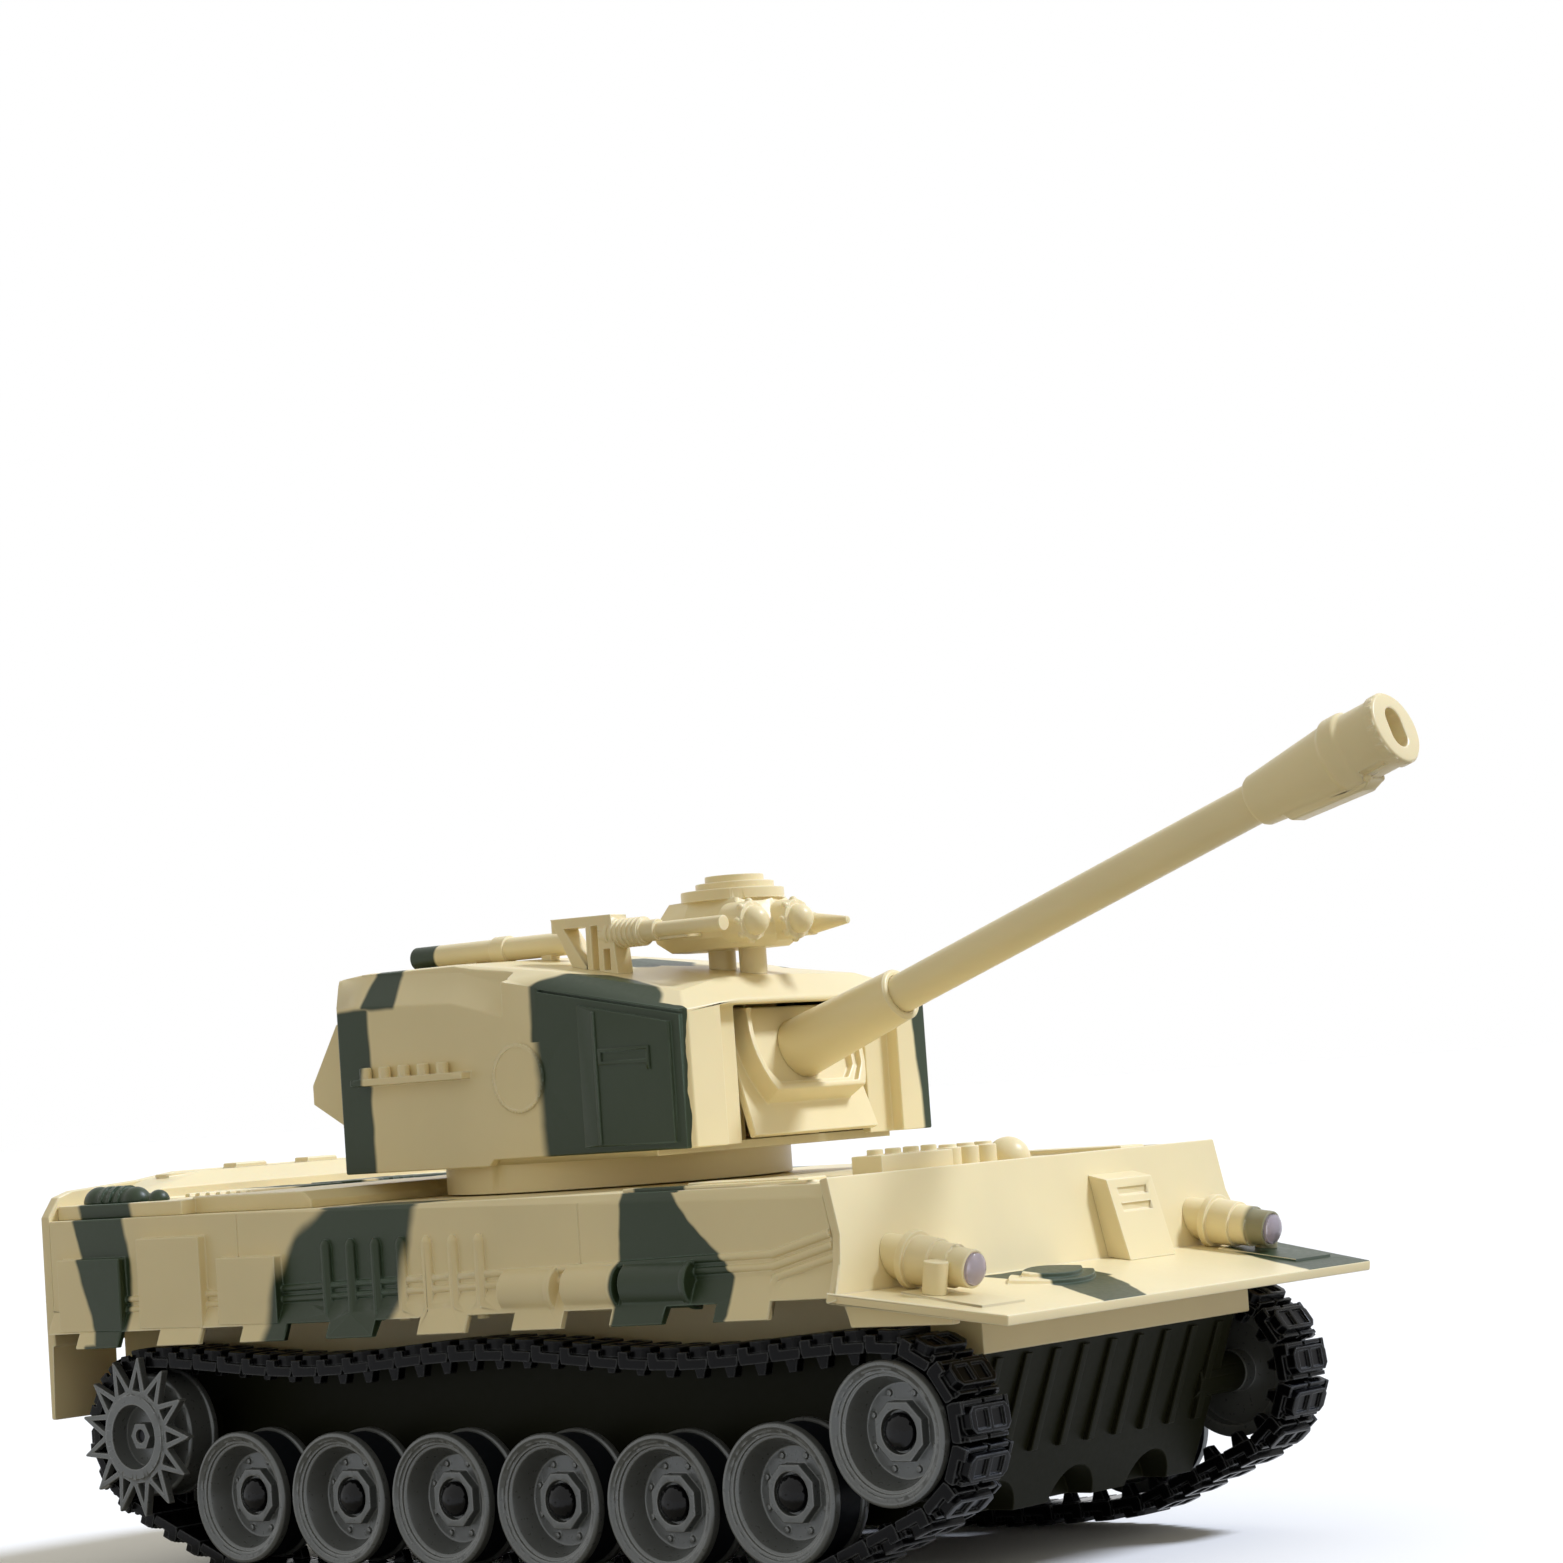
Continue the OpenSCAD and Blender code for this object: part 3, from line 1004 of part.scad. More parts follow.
// Stowed tubes on the roof's right rear
tube_y = 17;
module roof_tubes() color([0.8, 0.71, 0.5]) chassis() {
    foot = roof_z + 1.6;
    difference() {
        translate([0, -tube_y, foot + 2.7]) {
            rod_x(turret_rx + 4.5, turret_rx + 31, 2.7);
            rod_x(turret_rx + 31 - bite, turret_rx + 35, 3.2);
            rod_x(turret_rx + 35 - bite, turret_rx + 55, 2.7);
        }
        translate([turret_rx + 4, -tube_y, foot + 2.7]) rod_x(0, 6, 1.9);
    }
    difference() {
        for (x = [9, 22, 46]) translate([turret_rx + x, -tube_y - 1.5, foot - 4]) cube([3, 3, 4.5]);
        turret_body(0);
    }
}

// Weapon station on two posts: a flat pod with stepped discs, two lamp balls and a nozzle
pod_x = turret_x + 46;
pod_y = -7;
pod_z = roof_z - 0.4;
lamp_balls = [[16.6, 1.5], [13.2, -9.7]];
function pod_ring(grow, z) = [[12 + grow, -11 - grow / 2, z], [15 + grow, 0, z], [12 + grow,
    11 + grow / 2, z],
    [-4, 14 + grow, z], [-17 - grow, 9 + grow / 2, z], [-19 - grow, 0, z], [-17 - grow, -9 - grow / 2, z],
    [-4, -14 - grow, z]];
module pod_body() translate([pod_x, pod_y, pod_z])
    loft([pod_ring(-4, 0), pod_ring(-1, 2.4), pod_ring(0, 5), pod_ring(-4, 11)]);
module weapon_pod() color([0.84, 0.75, 0.54]) chassis() difference() {
    union() {
        pod_body();
        translate([pod_x, pod_y, pod_z]) {
            translate([0, 0, 11 - bite]) cylinder(h = 2.2 + bite, r = 11.6);
            translate([0.8, 0, 13.2 - bite]) cylinder(h = 1.6 + bite, r = 8.8);
            translate([0.8, 0, 14.8 - bite]) cylinder(h = 1.6 + bite, r = 6.6);
            for (b = lamp_balls) translate([b[0], b[1], 5.4]) {
                rod_x(-6, 0.6, 4.4);
                translate([0.9, 0, 0]) sphere(r = 3.3);
                for (k = [0:7]) rotate([k * 45, 0, 0]) translate([-0.4, 0, 4.2]) sphere(r = 0.9);
            }
            translate([9, 12, 4.6]) {
                rod_x(-8, 4, 2.6);
                rod_x(4 - bite, 14, 2.4, 0.8);
            }
            // Posts down to the roof
            for (x = [-6, 3]) translate([x, 2, -12]) cylinder(h = 13, r = 3.1);
        }
    }
    turret_body(0);
}

// The pod's side gun: ribbed jacket, barrel and the braced tail cage
gun_y = -24.6;
module pod_gun() color([0.84, 0.75, 0.54]) chassis() difference() {
    translate([pod_x - 5, gun_y, pod_z + 5.2]) difference() {
        union() {
            rod_x(-8, 17, 1.7);
            rod_x(-12, -2, 2.4);
            for (k = [0:6]) rod_x(-16 + 1.5 * k, -15.2 + 1.5 * k, 3.3);
            rod_x(-18, -6, 2.9);
            side_view([[-32.5, 4.6], [-14, 4.4], [-12.5, -12], [-23.5, -12]], -2.6, 2.6);
            translate([-32.5, -2.2, 1.4]) cube([8, 4.4, 3]);
            translate([-8, 0, -2.2]) cube([14, 6, 3.4]);
        }
        side_view([[-28.6, 2.2], [-21.8, 2.2], [-21.8, -7.4]], -4, 4);
        translate([-20.2, -4, -8]) cube([2, 8, 10.2]);
        translate([-16.8, -4, -8]) cube([2, 8, 4.8]);
    }
    pod_body();
    turret_body(0);
}

// Trunnion pin, fixed in the brackets
module trunnion_pin() color([0.7, 0.7, 0.72]) chassis() translate([trunnion_x, 0, trunnion_z])
    rotate([90, 0, 0]) cylinder(h = 2 * bracket_y[1] + 3, r = pin_r, center = true);

// Gun: local X runs along the barrel from the trunnion
gun_up = 2;
module gun_frame() translate([trunnion_x, 0, trunnion_z]) rotate([0, -gun_rest, 0]) children();
plate_u = 8;
frame_u = plate_u + 2;
frame_front = frame_u + 5;
socket_u = frame_u + 2;

// Half widths of the shield and their heights over the gun's axis, from its top down
shield_side = [[15, 16], [17.4, 8], [18.4, 4], [18.7, 1], [18.5, -2], [17.8, -5], [16.6, -8]];
function shield_edge(inset, foot) = concat([for (p = shield_side) if (p[1] > foot + 1) [p[0] - inset,
    p[1]]],
    [[14.6 - 0.9 * inset, foot]]);
function shield_outline(inset, foot) = concat(shield_edge(inset, foot),
    [for (k = [len(shield_edge(inset, foot)) - 1:-1:0]) [-shield_edge(inset, foot)[k][0],
        shield_edge(inset, foot)[k][1]]]);
module across(u, t, outline) translate([u, 0, 0]) rotate([90, 0, 90]) linear_extrude(t) polygon(outline);
module mantlet() color([0.82, 0.74, 0.53]) chassis() gun_frame() difference() {
    union() {
        across(plate_u, 2, [[-19.6, 16], [-mantlet_hw, -18.6], [mantlet_hw, -18.6], [19.6, 16]]);
        // Shield with a slanting foot
        difference() {
            across(frame_u - bite, 5 + bite, shield_outline(0, -11.6));
            translate([frame_u, 0, -11.6]) rotate([0, -15, 0]) translate([0, -30, -10]) cube([20, 60,
                10]);
        }
        // Yoke that turns on the trunnion pin
        rod_x(2, plate_u + 1, 9.4);
        rotate([90, 0, 0]) cylinder(h = 2 * bracket_y[0] - 0.8, r = 6, center = true);
        translate([0, 1 - bracket_y[0], -6]) cube([plate_u + bite, 2 * bracket_y[0] - 2, 12]);
    }
    // The face steps down twice inside the rim
    translate([frame_front - 1.4, 0, 0]) across(0, 10, shield_outline(1.5, -9));
    translate([socket_u, 0, 0]) across(0, 10, shield_outline(3, -7.8));
    rotate([90, 0, 0]) cylinder(h = 60, r = pin_r + running_fit, center = true);
    rod_x(plate_u, 20, barrel_r + 0.02);
    // Top, level below the port's edge when the gun is fully raised
    rotate([0, gun_rest + gun_up, 0]) translate([-20, -40, port_top - 0.4 - trunnion_z]) cube([60, 80,
        30]);
}
module gun_sleeve() color([0.82, 0.74, 0.53]) chassis() gun_frame() difference() {
    union() {
        rod_x(socket_u, sleeve_end - 0.6, sleeve_r + 0.15, sleeve_r - 0.9);
        rod_x(sleeve_end - 0.6 - bite, sleeve_end, sleeve_r - 0.9, sleeve_r - 1.2);
    }
    rod_x(socket_u - 1, sleeve_end + 1, barrel_r + 0.02);
}
module gun_barrel() color([0.82, 0.74, 0.53]) chassis() gun_frame()
    rod_x(plate_u + 0.5, gun_len - brake_len + 9, barrel_r);

// Muzzle brake: swelling cone, ring, body and lip, with an oblong bore, a keel and slots below
brake_root = gun_len - brake_len;
ring_u = brake_len - 13.9;
module muzzle_brake() color([0.82, 0.74, 0.53]) chassis() gun_frame() difference() {
    translate([brake_root, 0, 0]) {
        rotate([0, 90, 0]) rotate_extrude() polygon([[0, 0], [barrel_r + 0.8, 0], [barrel_r + 1.2, 0.8],
            [brake_r - 0.3, ring_u - 0.8], [brake_r + 0.4, ring_u], [brake_r + 0.4, ring_u + 3.6],
            [brake_r - 0.4, ring_u + 4.4], [brake_r - 0.4, brake_len - 3], [brake_r, brake_len - 2.5],
            [brake_r, brake_len - 0.6], [brake_r - 0.6, brake_len], [0, brake_len]]);
        side_view([[4, -3], [7, -brake_r + 0.2], [ring_u + 3, -brake_r - 1.2], [ring_u + 5.6, -brake_r],
            [ring_u + 6.2, -3]], -2.4, 2.4);
        for (s = [-1, 1]) translate([ring_u + 5, s * 2.4, -brake_r + 0.7]) sphere(r = 0.9);
    }
    rod_x(brake_root - 1, brake_root + 9.2, barrel_r + 0.02);
    translate([gun_len - 14, 0, 0]) for (z = [-1.6, 1.6]) translate([0, 0, z]) rod_x(0, 16, 2.6);
    translate([gun_len - 14, -2.6, -1.6]) cube([16, 5.2, 3.2]);
    // Slots low on the body
    for (s = [-1, 1]) rotate([s * 32, 0, 0]) translate([gun_len - 6.4, 0, -brake_r - 0.4])
        cube([5.6, 1.6, 2.4], center = true);
}

hull_tub();
upper_hull();
side_skirt_left();
side_skirt_right();
glacis_plate();
rear_plate();
engine_deck();
exhaust_domes();
headlight_housings();
headlight_lenses();
headlight_leds();
driver_visor();
deck_vent_block();
battery_door();
battery_pack();
control_board();
switch_housing();
switch_slider();
gearbox_left();
gearbox_right();
drive_motors();
drive_shaft_left();
drive_shaft_right();
axle_pins_left();
axle_pins_right();
track_left();
track_right();
hull_screws();
turret_gearbox();
turret_shell();
turret_base();
turret_retainer();
turret_bin();
roof_tubes();
weapon_pod();
pod_gun();
trunnion_pin();
mantlet();
gun_sleeve();
gun_barrel();
muzzle_brake();
idler_left();
idler_right();
sprocket_left();
sprocket_right();
for (i = [1:wheel_count]) {
    road_wheel_left(i - 1);
    road_wheel_right(i - 1);
}
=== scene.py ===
import json
import math
from collections import Counter

import bpy
from mathutils import Matrix, Vector
from mathutils.bvhtree import BVHTree

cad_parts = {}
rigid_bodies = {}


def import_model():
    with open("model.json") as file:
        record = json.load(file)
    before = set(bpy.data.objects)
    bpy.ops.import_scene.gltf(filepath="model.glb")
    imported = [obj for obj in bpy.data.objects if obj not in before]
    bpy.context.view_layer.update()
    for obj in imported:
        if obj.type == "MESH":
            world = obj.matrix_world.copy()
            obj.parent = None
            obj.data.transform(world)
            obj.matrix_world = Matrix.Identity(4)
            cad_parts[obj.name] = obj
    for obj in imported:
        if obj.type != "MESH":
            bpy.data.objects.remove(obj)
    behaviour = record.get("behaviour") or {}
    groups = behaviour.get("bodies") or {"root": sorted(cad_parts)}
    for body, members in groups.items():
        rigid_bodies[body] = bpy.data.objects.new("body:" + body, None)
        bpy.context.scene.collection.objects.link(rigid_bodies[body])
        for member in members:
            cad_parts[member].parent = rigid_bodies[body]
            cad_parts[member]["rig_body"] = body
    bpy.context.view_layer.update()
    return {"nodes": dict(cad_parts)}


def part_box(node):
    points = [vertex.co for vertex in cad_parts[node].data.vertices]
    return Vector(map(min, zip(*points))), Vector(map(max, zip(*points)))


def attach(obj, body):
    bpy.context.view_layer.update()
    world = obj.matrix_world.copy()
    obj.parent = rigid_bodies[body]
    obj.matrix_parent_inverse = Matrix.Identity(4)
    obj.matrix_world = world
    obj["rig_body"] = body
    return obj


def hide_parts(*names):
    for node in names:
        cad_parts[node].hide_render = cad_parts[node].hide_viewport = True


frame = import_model()

# Camera. It stands off the tank's right front corner at deck height and looks slightly up along the gun,
# as the photograph does. Its place and angles are a fit of the frame to the photograph.
camera_place = Vector((0.55964, -0.66302, 0.10405))
camera_yaw = 2.2623
camera_pitch = 0.0791
camera_roll = -0.0704
focal_px = 3852.08
photo_side_px = 1563
sensor_mm = 36.0
ahead = Vector((math.cos(camera_yaw) * math.cos(camera_pitch),
                math.sin(camera_yaw) * math.cos(camera_pitch), math.sin(camera_pitch)))
level_right = Vector((math.sin(camera_yaw), -math.cos(camera_yaw), 0))
level_up = level_right.cross(ahead)
right = math.cos(camera_roll) * level_right + math.sin(camera_roll) * level_up
up = math.cos(camera_roll) * level_up - math.sin(camera_roll) * level_right
camera = bpy.data.objects.new("camera", bpy.data.cameras.new("camera"))
camera.data.sensor_width = sensor_mm
camera.data.lens = sensor_mm * focal_px / photo_side_px
camera.matrix_world = Matrix.Translation(camera_place) @ Matrix((right, up, -ahead)).transposed().to_4x4()
bpy.context.scene.collection.objects.link(camera)
bpy.context.scene.camera = camera

# Studio. A soft sun high on the left front lights the glacis, the roofs and every ledge, and a warmer surround
# fills the shaded right side. To the eye, and in a mirror, floor and surround are white; the floor keeps the
# shadow and throws little light back up under the hull.
bpy.context.scene.view_settings.view_transform = "Standard"
sun_from = Vector((0.70, 0.58, 0.95))
sun_strength = 2.5
sun_spread = math.radians(12)
sun_colour = (0.95, 1.03, 1.22)
zenith_light = 0.52
horizon_light = 0.48
fill_colour = (1.0, 0.96, 0.84, 1.0)
white = (1.0, 1.0, 1.0, 1.0)
floor_size = 60.0
floor_bounce = (0.30, 0.27, 0.21, 1.0)
floor_roughness = 0.9
bpy.ops.object.select_all(action="DESELECT")
bpy.ops.object.light_add(type="SUN")
sun = bpy.context.object
sun.name = "sun"
sun.data.energy = sun_strength
sun.data.angle = sun_spread
sun.data.color = sun_colour
sun.rotation_euler = (-sun_from).to_track_quat("-Z", "Y").to_euler()


def wire(tree, kind, inputs=None, **settings):
    """A shader node with its settings, and with its inputs set to values or joined to other nodes' outputs."""
    made = tree.nodes.new(kind)
    for name, value in settings.items():
        setattr(made, name, value)
    for name, value in (inputs or {}).items():
        if isinstance(value, bpy.types.NodeSocket):
            tree.links.new(value, made.inputs[name])
        else:
            made.inputs[name].default_value = value
    return made


def reckon(tree, operation, *values):
    """One sum on numbers or on other nodes' outputs."""
    return wire(tree, "ShaderNodeMath", dict(enumerate(values)), operation=operation).outputs[0]


def mixed(tree, share, first, second):
    """A colour between two others. A Mix node takes colours at its inputs 6 and 7 and gives one at its output 2."""
    return wire(tree, "ShaderNodeMix", {0: share, 6: first, 7: second}, data_type="RGBA").outputs[2]


def seen_directly(tree):
    """1 for what the eye, a mirror or a lens sees, and 0 for the light that falls on things."""
    rays = wire(tree, "ShaderNodeLightPath").outputs
    eye_or_mirror = reckon(tree, "MAXIMUM", rays["Is Camera Ray"], rays["Is Glossy Ray"])
    return reckon(tree, "MAXIMUM", eye_or_mirror, rays["Is Transmission Ray"])


surround = bpy.data.worlds.new("surround")
bpy.context.scene.world = surround
surround.use_nodes = True
sky = surround.node_tree
backdrop = sky.nodes["Background"]
direction = wire(sky, "ShaderNodeTexCoord").outputs["Generated"]
height = wire(sky, "ShaderNodeSeparateXYZ", {0: direction}).outputs["Z"]
fill = wire(sky, "ShaderNodeMapRange", {"Value": height, "To Min": horizon_light, "To Max": zenith_light}).outputs[0]
sky_level = wire(sky, "ShaderNodeMapRange", {"Value": seen_directly(sky), "To Min": fill}).outputs[0]
sky.links.new(sky_level, backdrop.inputs["Strength"])
sky.links.new(mixed(sky, seen_directly(sky), fill_colour, white), backdrop.inputs["Color"])

bpy.ops.mesh.primitive_plane_add(size=floor_size)
floor = bpy.context.object
floor.name = "floor"
paper = bpy.data.materials.new("studio_paper")
paper.use_nodes = True
paper_shader = paper.node_tree.nodes["Principled BSDF"]
paper_colour = mixed(paper.node_tree, seen_directly(paper.node_tree), floor_bounce, white)
paper.node_tree.links.new(paper_colour, paper_shader.inputs["Base Color"])
paper_shader.inputs["Roughness"].default_value = floor_roughness
floor.data.materials.append(paper)

# Lower hull. A tray of dark olive plastic, moulded in one with its ribbed bow, its arches and its axle bosses;
# a door of the same plastic closes the battery bay below.
MM = 0.001
mould_radius = 0.25 * MM
weld_distance = 0.002 * MM
sharp_turn = math.radians(26)
flat_within = 0.1 * MM
flat_alike = 0.8
room_in_radii = 2.2
shortest_in_radii = 3
wear_and_highlight_reach = 0.6 * MM
cloud_scale = 38.0
speck_scale = 900.0
grain_scale = 3600.0
grain_depth = 0.12 * MM
glow_radius = (1.0, 0.55, 0.25)
glow_depth = 1.6 * MM


def srgb(red, green, blue):
    """A colour given as screen values from 0 to 255."""
    def linear(value):
        share = value / 255
        return share / 12.92 if share <= 0.04045 else ((share + 0.055) / 1.055) ** 2.4
    return (linear(red), linear(green), linear(blue), 1.0)


def worn_and_highlit_edges(tree, reach):
    """1 along the edges of a piece and 0 on its faces, by how far the surface turns within a reach: where wear and a
    painted highlight make the plastic paler.
    """
    turned = wire(tree, "ShaderNodeBevel", {"Radius": reach}, samples=4).outputs[0]
    facing = wire(tree, "ShaderNodeNewGeometry").outputs["Normal"]
    alike = wire(tree, "ShaderNodeVectorMath", {0: turned, 1: facing}, operation="DOT_PRODUCT").outputs["Value"]
    return wire(tree, "ShaderNodeMapRange", {"Value": alike, "From Min": 0.99, "From Max": 0.88}).outputs[0]


def noise(tree, place, scale, detail=2.0):
    """Cloudy noise from 0 to 1 at a place."""
    return wire(tree, "ShaderNodeTexNoise", {"Vector": place, "Scale": scale, "Detail": detail}).outputs["Fac"]


def moulded_plastic(name, colour, roughness, grain=0.12, wear_and_highlight_colour=None, glow=0.0, metal=0.0, gloss=0.5,
                    spray=None, spray_colour=None, spray_wear_and_highlight=None):
    """Injection-moulded plastic: cloudy in colour, finely grained, paler along its edges (partly wear, partly a
    painted highlight) and perhaps sprayed.
    """
    made = bpy.data.materials.new(name)
    made.use_nodes = True
    tree = made.node_tree
    shader = tree.nodes["Principled BSDF"]
    place = wire(tree, "ShaderNodeTexCoord").outputs["Object"]
    cloud = noise(tree, place, cloud_scale, 3.0)
    speck = noise(tree, place, speck_scale)
    shade = reckon(tree, "MULTIPLY_ADD", cloud, 0.16, 0.92)
    base = wire(tree, "ShaderNodeHueSaturation", {"Value": shade, "Color": colour}).outputs[0]
    rough = reckon(tree, "MULTIPLY_ADD", speck, 0.16, roughness - 0.08)
    # Edges go paler: partly wear, partly a painted highlight where edges catch the light.
    if wear_and_highlight_colour:
        patchy = reckon(tree, "MULTIPLY_ADD", speck, 0.7, 0.3)
        edge_wear_and_highlight = reckon(tree, "MULTIPLY", worn_and_highlit_edges(tree, wear_and_highlight_reach), patchy)
        base = mixed(tree, edge_wear_and_highlight, base, wear_and_highlight_colour)
    if spray:
        paint = sprayed(tree, place, spray)
        painted = wire(tree, "ShaderNodeHueSaturation", {"Value": shade, "Color": spray_colour}).outputs[0]
        base = mixed(tree, paint, base, mixed(tree, edge_wear_and_highlight, painted, spray_wear_and_highlight))
        rough = reckon(tree, "MULTIPLY_ADD", paint, 0.06, rough)
    tree.links.new(base, shader.inputs["Base Color"])
    tree.links.new(rough, shader.inputs["Roughness"])
    fine = noise(tree, place, grain_scale)
    bump = wire(tree, "ShaderNodeBump", {"Strength": grain, "Distance": grain_depth, "Height": fine}).outputs[0]
    tree.links.new(bump, shader.inputs["Normal"])
    shader.inputs["Metallic"].default_value = metal
    shader.inputs["Specular IOR Level"].default_value = gloss
    if glow:
        shader.inputs["Subsurface Weight"].default_value = glow
        shader.inputs["Subsurface Radius"].default_value = glow_radius
        shader.inputs["Subsurface Scale"].default_value = glow_depth
    return made


def select_only(piece):
    """Makes one object the only one that the next operators act on."""
    bpy.ops.object.select_all(action="DESELECT")
    piece.select_set(True)
    bpy.context.view_layer.objects.active = piece


def has_room(surface, normal, beside, start, along, reach):
    """Whether a face goes on flat for some way beside one of its edges, near both ends and in the middle."""
    for share in (0.08, 0.5, 0.92):
        _, found_normal, _, off = surface.find_nearest(start + along * share + beside * reach)
        if off > flat_within or found_normal.dot(normal) < flat_alike:
            return False
    return True


def mark_sharp_edges(mesh, radius):
    """Marks, for rounding, the edges that turn sharply and have room for it on both sides."""
    places = [vertex.co.copy() for vertex in mesh.vertices]
    corners = [tuple(face.vertices) for face in mesh.polygons]
    normals = [face.normal.copy() for face in mesh.polygons]
    surface = BVHTree.FromPolygons(places, corners)
    sides = {}
    for face, around in enumerate(corners):
        for first, second, third in zip(around, around[1:] + around[:1], around[2:] + around[:2]):
            sides.setdefault((min(first, second), max(first, second)), []).append((face, third))
    sharp = {ends: pair for ends, pair in sides.items()
             if len(pair) == 2 and normals[pair[0][0]].dot(normals[pair[1][0]]) < math.cos(sharp_turn)}
    meeting = Counter(corner for ends in sharp for corner in ends)
    chosen = set()
    for ends, pair in sharp.items():
        start = places[ends[0]]
        along = places[ends[1]] - start
        branches = meeting[ends[0]] != 2 or meeting[ends[1]] != 2
        if branches and along.length < shortest_in_radii * radius:
            continue
        for face, third in pair:
            beside = normals[face].cross(along).normalized()
            if beside.dot(places[third] - start) < 0:
                beside.negate()
            if not has_room(surface, normals[face], beside, start, along, room_in_radii * radius):
                break
        else:
            chosen.add(ends)
    marks = [float((min(edge.vertices), max(edge.vertices)) in chosen) for edge in mesh.edges]
    mesh.attributes.new("bevel_weight_edge", "FLOAT", "EDGE").data.foreach_set("value", marks)


def rounded(node, slot, *materials, radius=mould_radius):
    """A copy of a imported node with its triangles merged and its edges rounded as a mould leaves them."""
    source = frame["nodes"][node]
    piece = bpy.data.objects.new(node + "_moulding", source.data.copy())
    bpy.context.scene.collection.objects.link(piece)
    select_only(piece)
    bpy.ops.object.mode_set(mode="EDIT")
    bpy.ops.mesh.select_all(action="SELECT")
    bpy.ops.mesh.remove_doubles(threshold=weld_distance)
    bpy.ops.object.mode_set(mode="OBJECT")
    mark_sharp_edges(piece.data, radius)
    edge = piece.modifiers.new("mould_edge", "BEVEL")
    edge.width = radius
    edge.segments = 2
    edge.limit_method = "WEIGHT"
    edge.use_clamp_overlap = False
    edge.loop_slide = False
    bpy.ops.object.modifier_apply(modifier=edge.name)
    bpy.ops.object.shade_smooth_by_angle(angle=sharp_turn)
    flat = piece.modifiers.new("flat_faces", "WEIGHTED_NORMAL")
    flat.keep_sharp = True
    bpy.ops.object.modifier_apply(modifier=flat.name)
    piece.data.materials.clear()
    for material in materials:
        piece.data.materials.append(material)
    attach(piece, source["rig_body"])
    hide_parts(node)
    return piece


# Its edges are paler: partly wear, partly a painted highlight.
olive = moulded_plastic("olive_plastic", srgb(30, 31, 19), 0.46, wear_and_highlight_colour=srgb(56, 57, 42), gloss=0.06)
for node in ("hull_tub", "battery_door"):
    rounded(node, "olive_plastic", olive)

# Axle pins. Glossy black plastic pins with domed heads, on which the wheels and idlers turn. Each goes through a
# hub into a boss on the side of the tub.
pin_black = moulded_plastic("pin_black", srgb(8, 8, 10), 0.14, grain=0.02, gloss=0.22)
for side in ("left", "right"):
    rounded(f"axle_pins_{side}", "black_plastic", pin_black)

# Road wheels, idlers and sprockets. Dished wheels of satin grey plastic with stepped rims and an octagonal hub;
# the band between their two rims is black. The sprocket has an open star outside it.
# The grey is paler along rims and edges: partly wear, partly a painted highlight.
wheel_grey = moulded_plastic("wheel_grey", srgb(106, 109, 110), 0.3, grain=0.04, metal=0.3,
                             wear_and_highlight_colour=srgb(164, 167, 167), gloss=0.35)
band_black = moulded_plastic("wheel_band_black", srgb(26, 28, 33), 0.45, gloss=0.12)
rim_depth = 0.9 * MM
rim_width = 2.2 * MM
wheels_a_side = 6
wheel_nodes = [f"road_wheel_{side}_{i}" for side in ("left", "right") for i in range(1, wheels_a_side + 1)]
for node in wheel_nodes + ["idler_left", "idler_right"]:
    wheel = rounded(node, "wheel_plastic", wheel_grey, band_black)
    low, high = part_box(node)
    middle = (low + high) / 2
    band_radius = (high.z - low.z) / 2 - rim_depth
    for face in wheel.data.polygons:
        reach = math.hypot(face.center.x - middle.x, face.center.z - middle.z)
        between = low.y + rim_width < face.center.y < high.y - rim_width
        if between and reach > band_radius:
            face.material_index = 1
for side in ("left", "right"):
    rounded(f"sprocket_{side}", "wheel_plastic", wheel_grey)

# Tracks. Each is a loop of moulded links, laid round its sprocket, road wheels and idler. The plastic is nearly black,
# and lighter along the pads' lips, partly rubbed and partly a painted highlight.
track_black = moulded_plastic("track_black", srgb(6, 6, 8), 0.22, grain=0.05, wear_and_highlight_colour=srgb(112, 116, 122),
                              gloss=0.1)
link_radius = 0.2 * MM
for side in ("left", "right"):
    rounded(f"track_{side}", "track_rubber", track_black, radius=link_radius)

# Upper hull. Thin shells of sand-coloured plastic, screwed to the tub: deck, skirts, glacis with its front plate,
# rear plate and engine cover. A dark green pattern is sprayed on them through masks.
# Sand and green are paler along edges: partly wear, partly a painted highlight.
sand = srgb(236, 221, 177)
sand_wear_and_highlight = srgb(253, 246, 222)
spray_green = srgb(43, 57, 34)
green_wear_and_highlight = srgb(96, 116, 102)
plate_radius = 0.4 * MM
wander_scale = 90.0
wander_reach = 2.2 * MM
upward_slope = 0.35


